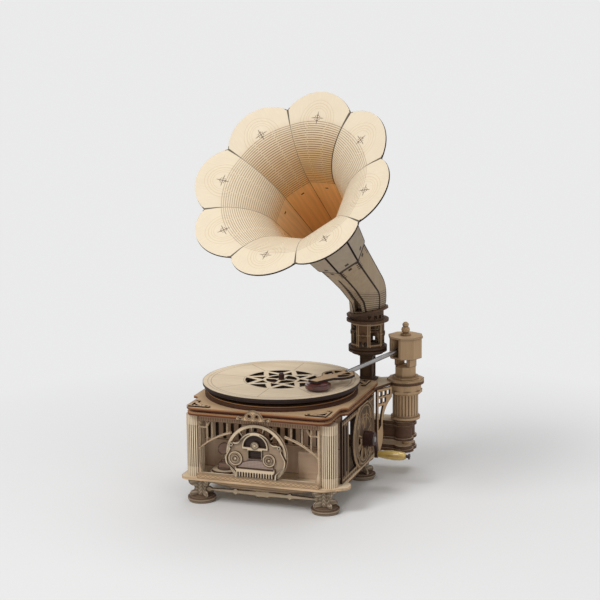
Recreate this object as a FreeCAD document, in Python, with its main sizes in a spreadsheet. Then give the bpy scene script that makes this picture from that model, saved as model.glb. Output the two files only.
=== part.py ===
"""Wooden model gramophone with a hand crank, a turning platter, a tonearm and an eight-petal horn.

Millimetres, +Z up, the front of the case faces -Y. The origin is on the ground, at the centre of the
whole model's footprint. Most pieces are flat sheets of plywood: each is drawn flat, padded to its
thickness and then stood up in its place, measured from the axis of the turntable (box_x, box_y).
"""

import FreeCAD, Part
import math
import os

from FreeCAD import Placement, Rotation, Vector

os.makedirs("parts", exist_ok=True)
doc = FreeCAD.newDocument("Gramophone")


# Driving dimensions

SIZES = {
    # where the turntable's axis stands in the model's frame
    "box_x": -25.0,
    "box_y": 12.7,
    # sheets and play
    "ply": 2.0,
    "thin_ply": 1.5,
    "running_play": 0.05,
    # the case: outer faces of its four sides
    "case_left": 67.0,
    "case_right": 72.0,
    "case_front": 66.0,
    "case_back": 62.0,
    "floor_top": 24.5,
    "deck_under": 79.5,
    "deck_top": 88.5,
    "foot_r": 12.5,
    "column_r": 7.8,
    "column_left": 59.5,
    "column_right": 62.5,
    "column_depth": 62.0,
    "flute_low": 33.3,
    "flute_high": 71.1,
    "flute_count": 26,
    # front display
    "arch_z": 48.8,
    "arch_r": 27.7,
    "arch_band": 3.0,
    "rail_top": 29.0,
    "brace_low": 50.6,
    "brace_high": 66.8,
    # right wall: the ring round the crank's hub
    "wall_ring_y": 12.0,
    "wall_ring_z": 52.0,
    "wall_ring_r": 30.5,
    # turntable
    "base_r": 68.0,
    "platter_r": 70.0,
    "platter_top": 100.0,
    "star_r": 32.0,
    "spindle_r": 2.5,
    "spindle_top": 106.0,
    "shaft_r": 3.0,
    # crank drive
    "crank_y": 12.0,
    "crank_z": 48.2,
    "crank_reach": 19.5,
    "crank_lean": -58.0,
    "crank_arm_x": 80.0,
    "crank_arm_ply": 2.6,
    "axle_r": 2.5,
    "gear_module": 1.6,
    "crank_teeth": 16,
    "pinion_teeth": 10,
    "wheel_teeth": 14,
    "crown_teeth": 28,
    "gear_ply": 2.0,
    # tonearm tower and arm
    "tower_x": 92.0,
    "tower_y": 81.0,
    "arm_heading": -114.4,
    "arm_length": 118.6,
    "tube_r": 2.0,
    # horn column, neck and bell
    "column_x": 58.9,
    "column_y": 71.0,
    "shelf_top": 86.5,
    "drum_r": 15.2,
    "drum_bore": 12.4,
    "ring_r": 19.3,
    "ring_tilt": 12.0,
    "horn_heading": -101.08,
    "mouth_reach": 139.62,
    "mouth_z": 287.2,
    "mouth_rise": 40.4,
    "bell_length": 107.7,
    "throat_apothem": 22.8,
    "neck_apothem": 15.0,
    "neck_rise": 38.0,
    "neck_bend_r": 24.0,
    "tip_r": 90.1,
    "lobe_root_r": 73.4,
    "fold_r": 66.3,
    "lobe_drop": 6.75,
    "petal_count": 8,
}

sheet = doc.addObject("Spreadsheet::Sheet", "Sizes")
for row, (alias, value) in enumerate(SIZES.items(), start=1):
    sheet.set(f"A{row}", alias)
    sheet.set(f"B{row}", str(value))
    sheet.setAlias(f"B{row}", alias)
doc.recompute()


def size(alias):
    """The number that the sheet holds under this name."""
    return float(sheet.get(alias))


# Orientations: a sheet is drawn in XY with its thickness along Z, then laid or stood up

LAID = Rotation()
FACING_FRONT = Rotation(Vector(1, 0, 0), 90)
FACING_SIDE = Rotation(Vector(1, 1, 1), 120)

pieces = []


def put(piece, x="0", y="0", z="0", turn=LAID):
    """Place a finished piece, measured from the turntable's axis on the ground."""
    piece.Placement = Placement(Vector(0, 0, 0), turn)
    piece.setExpression("Placement.Base.x", f"Sizes.box_x + ({x})")
    piece.setExpression("Placement.Base.y", f"Sizes.box_y + ({y})")
    piece.setExpression("Placement.Base.z", z)
    pieces.append(piece)
    return piece


# Outlines

def outline(start, *steps):
    """Closed outline. A step is a corner (x, y), or a pair (through, end) that makes an arc."""
    edges = []
    here = Vector(start[0], start[1], 0)
    first = here
    for step in steps:
        if isinstance(step[0], tuple):
            through = Vector(step[0][0], step[0][1], 0)
            end = Vector(step[1][0], step[1][1], 0)
            edges.append(Part.Arc(here, through, end))
        else:
            end = Vector(step[0], step[1], 0)
            edges.append(Part.LineSegment(here, end))
        here = end
    if here.distanceToPoint(first) > 1e-6:
        edges.append(Part.LineSegment(here, first))
    return edges


def circle(x, y, radius):
    return [Part.Circle(Vector(x, y, 0), Vector(0, 0, 1), radius)]


def rectangle(x1, y1, x2, y2):
    return outline((x1, y1), (x2, y1), (x2, y2), (x1, y2))


def polar(radius, degrees, x=0.0, y=0.0):
    angle = math.radians(degrees)
    return (x + radius * math.cos(angle), y + radius * math.sin(angle))


def sector_window(inner, outer, middle, half_inner, half_outer, x=0.0, y=0.0):
    """Window between two radii, its sides straight, its two ends round."""
    a = polar(inner, middle - half_inner, x, y)
    b = polar(outer, middle - half_outer, x, y)
    c = polar(outer, middle + half_outer, x, y)
    d = polar(inner, middle + half_inner, x, y)
    return outline(a, b, (polar(outer, middle, x, y), c), d, (polar(inner, middle, x, y), a))


def mirrored(points, middle):
    """The same corners on the other side of the line x = middle, in reverse order."""
    flipped = []
    for point in reversed(points):
        flipped.append((2 * middle - point[0], point[1]))
    return flipped


# Building blocks

def new_body(label):
    body = doc.addObject("PartDesign::Body", label)
    body.Label = label
    return body


def sketch_on(body, name, shapes, role="XY_Plane", height=None):
    sketch = body.newObject("Sketcher::SketchObject", name)
    base = [f for f in body.Origin.OriginFeatures if f.Role == role][0]
    sketch.AttachmentSupport = (base, "")
    sketch.MapMode = "FlatFace"
    if height:
        sketch.setExpression("AttachmentOffset.Base.z", height)
    sketch.addGeometry(shapes, False)
    return sketch


def pad(body, name, shapes, thickness, height=None):
    feature = body.newObject("PartDesign::Pad", name)
    feature.Profile = sketch_on(body, name + "_sketch", shapes, height=height)
    feature.setExpression("Length", thickness)
    return feature


def plate(label, *loops, thickness="Sizes.ply"):
    """Flat sheet: the first loop is its outline, the others are its openings."""
    body = new_body(label)
    shapes = [edge for loop in loops for edge in loop]
    pad(body, label + "_pad", shapes, thickness)
    return body


def stack(label, *layers):
    """Sheets glued on each other: (height, thickness, loops) for each layer."""
    body = new_body(label)
    for index, (height, thickness, loops) in enumerate(layers, start=1):
        shapes = [edge for loop in loops for edge in loop]
        pad(body, f"{label}_layer_{index}", shapes, thickness, height)
    return body


def turned(label, profile):
    """Body of revolution about its own Z axis; the profile is drawn in (radius, height)."""
    body = new_body(label)
    sketch = sketch_on(body, label + "_profile", profile, role="XZ_Plane")
    feature = body.newObject("PartDesign::Revolution", label + "_turn")
    feature.Profile = sketch
    feature.ReferenceAxis = (sketch, ["V_Axis"])
    feature.Angle = 360.0
    return body


def polar_pattern(body, features, count, angle=360.0):
    """Repeat features round the body's own Z axis, over this angle."""
    pattern = body.newObject("PartDesign::PolarPattern", features[0].Label + "_pattern")
    pattern.Originals = features
    axis = [f for f in body.Origin.OriginFeatures if f.Role == "Z_Axis"][0]
    pattern.Axis = (axis, [""])
    pattern.Angle = angle
    pattern.setExpression("Occurrences", count)
    body.Tip = pattern
    return pattern


def side_feature(body, kind, name, shapes, inside, depth, heading=0.0):
    """Pad or Pocket that runs outward from this distance off the axis; heading 0 faces -Y."""
    sketch = sketch_on(body, name + "_sketch", shapes, role="XZ_Plane")
    turn = Rotation(Vector(0, 1, 0), heading)
    sketch.AttachmentOffset = Placement(turn.multVec(Vector(0, 0, inside)), turn)
    feature = body.newObject("PartDesign::" + kind, name)
    feature.Profile = sketch
    feature.Length = depth
    feature.Reversed = kind == "Pocket"
    return feature


def group(label, members):
    """Like pieces that share one name, such as the four feet."""
    compound = doc.addObject("Part::Compound", label)
    compound.Label = label
    compound.Links = members
    for member in members:
        pieces.remove(member)
    pieces.append(compound)
    return compound


# Feet: two round discs, a turned stem and four scrolled brackets

def foot(label, x, y):
    r = size("foot_r")
    top = size("floor_top") - size("ply")
    stem = [
        (0.0, 0.0), (r - 1.0, 0.0), (r - 1.0, 2.0), (r, 2.0), (r, 4.0), (r - 2.0, 4.0),
        (r - 2.0, 5.5), (4.2, 5.5), (4.2, top - 3.0), (8.0, top - 3.0), (8.0, top), (0.0, top),
    ]
    body = turned(label, outline(*stem))
    scroll = outline(
        (3.0, 5.0), (r - 2.5, 5.0), ((r - 1.2, 7.5), (8.0, 10.0)),
        ((6.6, 12.2), (8.6, 14.6)), ((11.4, 16.5), (r - 1.0, top)), (3.0, top),
    )
    feature = body.newObject("PartDesign::Pad", label + "_scroll")
    feature.Profile = sketch_on(body, label + "_scroll_sketch", scroll, role="XZ_Plane")
    feature.setExpression("Length", "Sizes.ply")
    feature.Midplane = True
    polar_pattern(body, [feature], "4")
    return put(body, x, y, "0", Rotation(Vector(0, 0, 1), 45))


group("feet", [
    foot("foot_front_left", "-56", "-55"),
    foot("foot_front_right", "58", "-55"),
    foot("foot_rear_left", "-56", "48"),
    foot("foot_rear_right", "60", "48"),
])


# Bottom plate, with a lobe at each corner of the crank side

def bottom_outline():
    left = -size("case_left") - 4.0
    right = size("case_right") + 1.0
    front = -size("case_front") - 4.5
    back = size("case_back") + 2.0
    lobe = right + 7.0
    return outline(
        (left + 8, front), (60, front), ((lobe - 10, front + 6), (lobe - 2.5, front + 11)),
        ((lobe, front + 17), (lobe - 2.5, front + 25.5)), ((right + 1.2, front + 30), (right, front + 36)),
        (right, back - 30), ((right + 1.2, back - 25), (lobe - 2.5, back - 20.5)),
        ((lobe, back - 14), (lobe - 3.5, back - 8)), ((lobe - 11, back - 2), (60, back)),
        (left + 8, back), ((left + 2.4, back - 2.4), (left, back - 8)),
        (left, front + 8), ((left + 2.4, front + 2.4), (left + 8, front)),
    )


put(plate("bottom_plate", bottom_outline()), z="Sizes.floor_top - Sizes.ply")


# Apron boards under the bottom plate, between the feet

def apron_board(span, drop):
    """Board whose lower edge hangs lowest in the middle, with a small cusp there."""
    half = span / 2
    return outline(
        (-half, 0), (-half, -3.0), ((-half * 0.72, -drop + 2.2), (-half * 0.3, -drop + 0.8)),
        ((-half * 0.12, -drop + 0.4), (0, -drop)), ((half * 0.12, -drop + 0.4), (half * 0.3, -drop + 0.8)),
        ((half * 0.72, -drop + 2.2), (half, -3.0)), (half, 0),
    )


def apron(label, span, drop, x, y, turn):
    return put(plate(label, apron_board(span, drop)), x, y, "Sizes.floor_top - Sizes.ply", turn)


group("aprons", [
    apron("apron_front", 94, 7.8, "1", "-60", FACING_FRONT),
    apron("apron_back", 94, 7.8, "2", "56", FACING_FRONT),
    apron("apron_left", 80, 7.8, "-62", "-3.5", FACING_SIDE),
    apron("apron_right", 80, 7.8, "66", "-3.5", FACING_SIDE),
])


# Stretcher: a flat board cut to the profile of a turned bar, with a square block in the middle

def stretcher_outline(length):
    half = length / 2
    upper_left = [
        (-half, 0.9), (-half + 3, 2.6), (-half + 6, 0.9), (-27, 1.5), (-26, 2.8), (-24, 2.8), (-23, 1.5),
        (-6, 2.0), (-5, 3.2), (-4, 3.2), (-4, 2.6),
    ]
    upper = upper_left + mirrored(upper_left, 0)
    lower = [(x, -y) for x, y in reversed(upper)]
    points = upper + lower
    return outline(points[0], *points[1:])


put(plate("front_stretcher", stretcher_outline(105.6)), "1", "-54", "10.8", FACING_FRONT)


# Corner columns: round posts between the bottom plate and the deck, with flutes that stop short of both ends

def flutes(body, radius, low, length, count):
    """Sharp grooves round a post, each a narrow V that opens outward."""
    notch = outline((radius - 0.8, 0), (radius + 0.2, -0.65), (radius + 0.2, 0.65))
    flute = body.newObject("PartDesign::Pocket", body.Label + "_flute")
    flute.Profile = sketch_on(body, body.Label + "_flute_sketch", notch, height=low)
    flute.setExpression("Length", length)
    flute.Reversed = True
    return polar_pattern(body, [flute], count)


def corner_column(label, x, y):
    body = new_body(label)
    pad(body, label + "_post", circle(0, 0, size("column_r")), "Sizes.deck_under - Sizes.floor_top")
    flutes(body, size("column_r"), "Sizes.flute_low - Sizes.floor_top", "Sizes.flute_high - Sizes.flute_low",
           "Sizes.flute_count")
    return put(body, x, y, "Sizes.floor_top")


group("corner_columns", [
    corner_column("column_front_left", "-Sizes.column_left", "-Sizes.column_depth + 4"),
    corner_column("column_front_right", "Sizes.column_right", "-Sizes.column_depth + 4"),
    corner_column("column_rear_left", "-Sizes.column_left", "Sizes.column_depth - 10"),
    corner_column("column_rear_right", "Sizes.column_right", "Sizes.column_depth - 10"),
])


# Front frame: a border, a ring behind the arch, and on each side a bowed brace under thin upright bars

FRAME_LEFT, FRAME_RIGHT = -54.0, 57.0
DISPLAY_LEFT, DISPLAY_RIGHT = -53.0, 54.8
DISPLAY_TOP = 75.5
DISPLAY_MIDDLE = (DISPLAY_LEFT + DISPLAY_RIGHT) / 2
DISPLAY_HALF = (DISPLAY_RIGHT - DISPLAY_LEFT) / 2
BARS = {-1: (27.2, 41.3, 45.8), 1: (31.0, 40.9, 49.0)}
BAR_HALF = 0.55
BRACE_HALF = 0.9
BRACE_NEAR = 24.2


def brace_z(distance):
    """Height of a brace's middle line; it bows down from the arch to the border."""
    run = (distance - BRACE_NEAR) / (DISPLAY_HALF - BRACE_NEAR)
    return size("brace_high") - (size("brace_high") - size("brace_low")) * (0.4 * run + 0.6 * run ** 2)


def ring_with_feet(radius, band, base):
    """Ring of this band round the arch's middle, cut level at the base."""
    inner = radius - band
    center = size("arch_z")
    out_x = math.sqrt(radius ** 2 - (center - base) ** 2)
    in_x = math.sqrt(inner ** 2 - (center - base) ** 2)
    return outline(
        (-out_x, base), ((0.0, center + radius), (out_x, base)),
        (in_x, base), ((0.0, center + inner), (-in_x, base)),
    )


def brace_strip(side):
    """A brace, from behind the ring to the border."""
    middle = (BRACE_NEAR + DISPLAY_HALF) / 2

    def on_line(distance, lift):
        return (DISPLAY_MIDDLE + side * distance, brace_z(distance) + lift)

    far = DISPLAY_HALF + 0.5
    return outline(
        on_line(BRACE_NEAR, -BRACE_HALF), (on_line(middle, -BRACE_HALF), on_line(far, -BRACE_HALF)),
        on_line(far, BRACE_HALF), (on_line(middle, BRACE_HALF), on_line(BRACE_NEAR, BRACE_HALF)),
    )


def ogee_strip(side):
    """Moulding across the top outer corner of an opening, bowed one way and then the other."""

    def at(distance, z):
        return (DISPLAY_MIDDLE + side * distance, z)

    return outline(
        at(43.4, 76.0), (at(45.1, 74.7), at(46.3, 72.7)), (at(47.6, 70.8), at(49.4, 70.1)), at(54.4, 70.1),
        at(54.4, 69.1), at(49.3, 69.1), (at(46.8, 69.9), at(45.4, 72.0)), (at(44.1, 74.1), at(41.6, 76.0)),
    )


def foot_flare(side):
    """Where the border widens toward the bottom rail."""
    edge = DISPLAY_MIDDLE + side * (DISPLAY_HALF + 0.5)
    low = size("rail_top") - 0.5
    return outline((edge, low), (edge - side * 2.3, low), ((edge - side * 1.5, 34.0), (edge, 40.0)))


def front_frame():
    rail = size("rail_top")
    body = plate(
        "front_frame", rectangle(FRAME_LEFT, size("floor_top"), FRAME_RIGHT, size("deck_under")),
        rectangle(DISPLAY_LEFT, rail, DISPLAY_RIGHT, DISPLAY_TOP),
    )
    pad(body, "frame_ring", ring_with_feet(size("arch_r"), size("arch_band"), rail - 0.5), "Sizes.ply")
    for side, hand in ((-1, "left"), (1, "right")):
        pad(body, f"frame_brace_{hand}", brace_strip(side), "Sizes.ply")
        pad(body, f"frame_ogee_{hand}", ogee_strip(side), "Sizes.ply")
        pad(body, f"frame_flare_{hand}", foot_flare(side), "Sizes.ply")
        for number, distance in enumerate(BARS[side], start=1):
            foot_z = brace_z(distance - side * DISPLAY_MIDDLE)
            bar = rectangle(side * distance - BAR_HALF, foot_z, side * distance + BAR_HALF, DISPLAY_TOP + 0.5)
            pad(body, f"frame_bar_{hand}_{number}", bar, "Sizes.ply")
    return body


put(front_frame(), "0", "-Sizes.case_front + Sizes.ply", "0", FACING_FRONT)


# Bottom rail in front of the frame, which carries the arch and the radio

front_rail = rectangle(FRAME_LEFT, size("floor_top"), FRAME_RIGHT, size("rail_top"))
put(plate("front_rail", front_rail, thickness="4.5"), "0", "-Sizes.case_front", "0", FACING_FRONT)


# Round arch in front of the frame: a ring that stands on the bottom rail, with four short spokes

SPOKES = (49.0, 74.0, 99.0, 127.0)


def front_arch():
    ring = ring_with_feet(size("arch_r"), size("arch_band"), size("rail_top"))
    body = plate("front_arch", ring, thickness="Sizes.thin_ply")
    inner = size("arch_r") - size("arch_band")
    for number, angle in enumerate(SPOKES, start=1):
        spoke = sector_window(inner - 4.5, inner + 0.5, angle, 1.6, 1.3, 0.0, size("arch_z"))
        pad(body, f"arch_spoke_{number}", spoke, "Sizes.thin_ply")
    return body


put(front_arch(), "0", "-Sizes.case_front", "0", FACING_FRONT)


# Radio-shaped front panel in front of the arch

def radio_outline(grow):
    """Round-shouldered panel with a small ear on each side, pushed out by grow."""
    right = [
        (19.0 + grow, size("rail_top") - 0.6 * grow), (19.4 + grow, 34.0), (22.0 + grow, 36.6),
        (26.6 + grow, 40.5), (27.6 + grow, 47.0), (23.6 + grow, 54.6), (24.4 + grow, 57.4),
        (22.2 + grow, 60.0 + grow), (19.4, 60.6 + grow), (16.6, 60.4 + grow), (13.2, 63.4 + grow),
    ]
    left = mirrored(right, 0.0)
    return outline(
        right[0], right[1], (right[2], right[3]), (polar(27.7 + grow, -4.0, 0.0, 46.5), right[4]), right[5],
        (right[6], right[7]), right[8], (right[9], right[10]),
        ((0.0, 70.4 + grow), left[0]), (left[1], left[2]), left[3], (left[4], left[5]), left[6],
        (polar(27.7 + grow, 184.0, 0.0, 46.5), left[7]), (left[8], left[9]), left[10],
    )


def half_round(radius, base, middle):
    return outline((middle - radius, base), (middle + radius, base),
                   ((middle, base + radius), (middle - radius, base)))


RADIO_SCREEN = (-6.0, 46.8, 5.6, 54.0)
RADIO_DIALS = ((-18.0, 46.0, 6.4), (12.7, 46.4, 5.8))
RADIO_WINDOW = (10.4, 57.0)
RADIO_MEDALLION = (0.0, 58.6, 3.6)
RADIO_KNOBS = (-21.6, 22.0)
COMB_TOP = 37.6


def radio_panel():
    radius, base = RADIO_WINDOW
    return plate(
        "radio_panel", radio_outline(0.0), half_round(radius, base, 0.0), rectangle(*RADIO_SCREEN),
        thickness="Sizes.thin_ply",
    )


put(radio_panel(), "0", "-Sizes.case_front - Sizes.thin_ply", "0", FACING_FRONT)


def speaker_strip():
    """Low domed field over the comb, cut back round the two dials."""
    half = 16.6
    base = COMB_TOP + 0.2
    left, right = RADIO_DIALS

    def beside(dial, angle):
        x, z, radius = dial
        return polar(radius + 0.3, angle, x, z)

    return outline(
        (-half, base), beside(left, -77.9), (beside(left, -52.0), beside(left, -27.0)),
        ((-2.0, 45.6), beside(right, 189.0)), (beside(right, 250.0), beside(right, 310.0)), (half, base),
    )


def radio_frame():
    """Relief on the panel: rim, frame of the screen, band over the window, medallion, knobs and strip."""
    body = new_body("radio_frame")
    pad(body, "radio_rim", radio_outline(0.0) + radio_outline(-1.7), "Sizes.thin_ply")
    x1, z1, x2, z2 = RADIO_SCREEN
    screen = rectangle(x1 - 1.0, z1 - 1.0, x2 + 1.0, z2 + 0.9) + rectangle(*RADIO_SCREEN)
    pad(body, "radio_screen", screen, "Sizes.thin_ply")
    radius, base = RADIO_WINDOW
    wide = radius + 1.5
    center_x, center_z, disc_r = RADIO_MEDALLION
    notch = math.sqrt(disc_r ** 2 - (center_z - base) ** 2)
    band = outline(
        (-wide, base - 2.1), (wide, base - 2.1), (wide, base), ((0.0, base + wide), (-wide, base)),
    )
    band += outline(
        (-radius, base), (-notch, base), ((0.0, center_z + disc_r), (notch, base)), (radius, base),
        ((0.0, base + radius), (-radius, base)),
    )
    pad(body, "radio_window", band, "Sizes.thin_ply")
    medallion = circle(center_x, center_z, disc_r) + circle(center_x, center_z, disc_r - 0.9)
    pad(body, "radio_medallion", medallion, "2.2")
    pad(body, "radio_medallion_boss", circle(center_x, center_z, 1.5), "2.2")
    for number, knob_x in enumerate(RADIO_KNOBS, start=1):
        pad(body, f"radio_knob_{number}", circle(knob_x, 58.3, 2.0) + circle(knob_x, 58.3, 0.8), "2.2")
    pad(body, "radio_strip", speaker_strip(), "0.8")
    return body


put(radio_frame(), "0", "-Sizes.case_front - 2 * Sizes.thin_ply", "0", FACING_FRONT)


def comb():
    """Keyboard bar with its teeth pointing down and a short post at each end."""
    count = 14
    half = 17.2
    pitch = 2 * half / count
    low = size("rail_top") + 1.2
    root = 34.4
    points = [(-half, low)]
    for tooth in range(count):
        start = -half + tooth * pitch
        points += [(start + pitch * 0.55, low), (start + pitch * 0.55, root)]
        if tooth < count - 1:
            points += [(start + pitch, root), (start + pitch, low)]
    post = [(half, root), (half, root + 1.2), (half + 0.9, root + 1.2), (half + 0.9, COMB_TOP + 1.7),
            (half - 0.3, COMB_TOP + 1.7), (half - 0.3, COMB_TOP)]
    points += post + mirrored(post[1:], 0.0)
    return plate("comb", outline(points[0], *points[1:]), thickness="2.6")


put(comb(), "0", "-Sizes.case_front - 2 * Sizes.thin_ply", "0", FACING_FRONT)


def dial(label, x, z, radius):
    """Two stepped rings round a small boss."""
    body = stack(
        label,
        ("0", "0.8", [circle(x, z, radius)]),
        ("0.8", "0.9", [circle(x, z, radius), circle(x, z, radius - 1.4)]),
        ("0.8", "1.4", [circle(x, z, radius * 0.56), circle(x, z, radius * 0.4)]),
        ("0.8", "1.0", [circle(x, z, radius * 0.2)]),
    )
    return put(body, "0", "-Sizes.case_front - 2 * Sizes.thin_ply", "0", FACING_FRONT)


group("radio_dials", [
    dial("dial_left", *RADIO_DIALS[0]),
    dial("dial_right", *RADIO_DIALS[1]),
])


# Little stage in the left of the display, with a toy gramophone on it

put(stack(
    "stage",
    ("0", "Sizes.ply", [circle(0, 0, 14.5)]),
    ("Sizes.ply", "Sizes.ply", [circle(0, 0, 12.5)]),
), "-36", "-47", "Sizes.floor_top")


def toy_gramophone():
    body = stack(
        "toy_gramophone",
        ("0", "1.0", [circle(0, 0, 7.5)]),
        ("1.0", "5.0", [rectangle(-5, -5, 5, 5)]),
        ("6.0", "1.2", [circle(0, 0, 4.4)]),
        ("6.0", "9.0", [circle(0, 3.6, 0.9)]),
    )
    bell = body.newObject("PartDesign::AdditiveCone", "toy_bell")
    bell.Radius1 = 0.9
    bell.Radius2 = 5.6
    bell.Height = 9.0
    bell.Placement = Placement(Vector(0, 3.2, 14.0), Rotation(Vector(1, 0, 0), 55))
    return body


put(toy_gramophone(), "-36", "-47", "Sizes.floor_top + 2 * Sizes.ply")


# Walls of the case

def wall_window(y1, z1, y2, z2):
    """Upright opening with a round head."""
    middle = (y1 + y2) / 2
    radius = (y2 - y1) / 2
    return outline((y1, z1), (y2, z1), (y2, z2 - radius), ((middle, z2), (y1, z2 - radius)))


# openings round the crank's hub, from the one that points to the back: how far out each reaches
RAYS = (20.0, 26.0, 24.5, 26.0, 20.0, 24.0, 20.0, 24.0)
RAY_INNER = 8.6


def ring_edge(radius, z, side):
    """Where a circle round the wall ring's middle stands at this height."""
    half = math.sqrt(radius ** 2 - (z - size("wall_ring_z")) ** 2)
    return (size("wall_ring_y") + side * half, z)


def right_wall():
    """Wall on the crank's side: tall windows, a crescent beside the ring, and rays round the crank's hub."""
    low, high = size("floor_top"), size("deck_under")
    y, z = size("crank_y"), size("crank_z")
    loops = [rectangle(-50, low, 44, high)]
    loops.append(wall_window(-48.6, low + 6, -43.6, high - 3))
    loops.append(wall_window(-38.4, low + 8, -35.6, high - 6))
    beside = size("wall_ring_r") + 0.8
    foot_z, head_z = low + 4.5, high - 4.5
    loops.append(outline(
        (-31.0, foot_z), ring_edge(beside, foot_z, -1),
        (ring_edge(beside, size("wall_ring_z"), -1), ring_edge(beside, head_z, -1)), (-31.0, head_z),
    ))
    loops.append(circle(y, z, size("axle_r") + size("running_play")))
    for step, outer in enumerate(RAYS):
        loops.append(sector_window(RAY_INNER, outer, 45 * step, 15.0, 18.5, y, z))
    return plate("right_wall", *loops)


def left_wall():
    low, high = size("floor_top"), size("deck_under")
    loops = [rectangle(-50, low, 44, high)]
    for y in (-46, -39.5, -33):
        loops.append(wall_window(y, low + 5, y + 3.4, high - 4))
    loops.append(wall_window(-26.5, low + 5, -17.0, high - 12))
    for step in range(4):
        y = -10.0 + step * 13.0
        loops.append(wall_window(y, low + 5, y + 9.0, high - 6))
    return plate("left_wall", *loops)


put(right_wall(), "Sizes.case_right - Sizes.ply", "0", "0", FACING_SIDE)
put(left_wall(), "-Sizes.case_left", "0", "0", FACING_SIDE)


def back_wall():
    low, high = size("floor_top"), size("deck_under")
    loops = [rectangle(-52, low, 55, high)]
    for step in range(6):
        x = -44.0 + step * 16.0
        loops.append(wall_window(x, low + 8, x + 9.0, high - 8))
    return plate("back_wall", *loops)


put(back_wall(), "0", "Sizes.case_back", "0", FACING_FRONT)


# Backdrop of the display: a screen of upright slats across the case

def backdrop():
    low, high = size("floor_top"), size("deck_under")
    loops = [rectangle(-62, low, 66, high)]
    for step in range(17):
        x = -58.0 + step * 7.2
        loops.append(rectangle(x, low + 4, x + 2.4, high - 4))
    return plate("backdrop", *loops)


put(backdrop(), "0", "-30", "0", FACING_FRONT)


# Plain cover of the mechanism, in the right of the display

put(stack(
    "mechanism_cover",
    ("0", "24", [rectangle(30, -44, 57, -42)]),
    ("22", "Sizes.ply", [rectangle(30, -42, 57, -32)]),
), "0", "0", "Sizes.floor_top")


# Side rosette: a large ring on the right wall with pointed tracery, and rays round the crank's hub

# each pair of openings: how far its two points stand from the crank's line, their heights, and the bulge
TRACERY = (
    ((21.5, 61.0), (13.0, 74.0), 2.4),
    ((3.6, 61.5), (6.2, 74.0), 1.9),
    ((21.5, 37.5), (12.0, 27.0), 2.2),
)


def lens(start, end, bulge):
    """Pointed opening between two arcs, each this far from the straight line."""
    across = (end[1] - start[1], start[0] - end[0])
    length = math.hypot(*across)
    middle = ((start[0] + end[0]) / 2, (start[1] + end[1]) / 2)
    step = (across[0] / length * bulge, across[1] / length * bulge)
    one = (middle[0] + step[0], middle[1] + step[1])
    other = (middle[0] - step[0], middle[1] - step[1])
    return outline(start, (one, end), (other, start))


def rosette():
    low, high = size("floor_top"), size("deck_under")
    y, z = size("crank_y"), size("crank_z")
    ring_r = size("wall_ring_r")
    middle = (low + high) / 2
    rim = outline(
        ring_edge(ring_r, low, -1), ring_edge(ring_r, low, 1),
        (ring_edge(ring_r, middle, 1), ring_edge(ring_r, high, 1)),
        ring_edge(ring_r, high, -1), (ring_edge(ring_r, middle, -1), ring_edge(ring_r, low, -1)),
    )
    loops = [rim, circle(y, z, size("axle_r") + 0.5), lens((y, 57.2), (y, 66.0), 2.0)]
    for angle in (0, 180, 225, 270, 315):
        loops.append(sector_window(RAY_INNER, 18.5, angle, 14.0, 17.0, y, z))
    for start, end, bulge in TRACERY:
        for side in (-1, 1):
            loops.append(lens((y + side * start[0], start[1]), (y + side * end[0], end[1]), bulge))
    return plate("side_rosette", *loops, thickness="Sizes.thin_ply")


put(rosette(), "Sizes.case_right", "0", "0", FACING_SIDE)


# Deck: an inset layer, a wide layer, a spacer and the top plate, all with stepped corners

def deck_outline(inset):
    left = -size("case_left") - 3.0 + inset
    right = size("case_right") + 1.0 - inset
    front = -size("case_front") - 7.0 + inset
    back = size("case_back") - inset
    neck_r = right - 6.0
    neck_l = left + 6.0
    return outline(
        (neck_l + 9, front), (neck_r - 9, front), ((neck_r - 2.2, front + 3.2), (neck_r, front + 12)),
        (neck_r, front + 30), ((neck_r + 1.6, front + 35.5), (right, front + 38)),
        (right, back - 8), ((right - 2.4, back - 2.4), (right - 8, back)),
        (left + 8, back), ((left + 2.4, back - 2.4), (left, back - 8)),
        (left, front + 38), ((neck_l - 1.6, front + 35.5), (neck_l, front + 30)),
        (neck_l, front + 12), ((neck_l + 2.2, front + 3.2), (neck_l + 9, front)),
    )


BUSH_R = 8.0

put(stack(
    "deck_lower",
    ("0", "Sizes.ply", [deck_outline(5.0), circle(0, 0, BUSH_R)]),
    ("Sizes.ply", "2.5", [deck_outline(0.5), circle(0, 0, BUSH_R)]),
), z="Sizes.deck_under")
put(plate("deck_spacer", deck_outline(3.5), circle(0, 0, BUSH_R), thickness="2.5"),
    z="Sizes.deck_under + Sizes.ply + 2.5")
put(plate("deck_top_plate", deck_outline(0.0), circle(0, 0, BUSH_R)), z="Sizes.deck_top - Sizes.ply")


# Crest in the middle of the deck's front edge

def crest():
    """Domed middle with two eyes, between two leafy wings; drawn from its own foot."""
    loops = [outline(
        (-14.5, 0), (14.5, 0), ((15.6, 2.0), (12.5, 3.0)), ((10.5, 2.4), (8.5, 3.6)),
        ((0, 9.6), (-8.5, 3.6)), ((-10.5, 2.4), (-12.5, 3.0)), ((-15.6, 2.0), (-14.5, 0)),
    )]
    for side in (-1, 1):
        loops.append(circle(side * 3.4, 4.0, 1.7))
        loops.append(circle(side * 11.6, 1.5, 0.7))
    return plate("front_crest", *loops, thickness="Sizes.thin_ply")


put(crest(), "0", "-Sizes.case_front - 7", "81", FACING_FRONT)


# Pierced scrolls on the four corners of the deck

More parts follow.
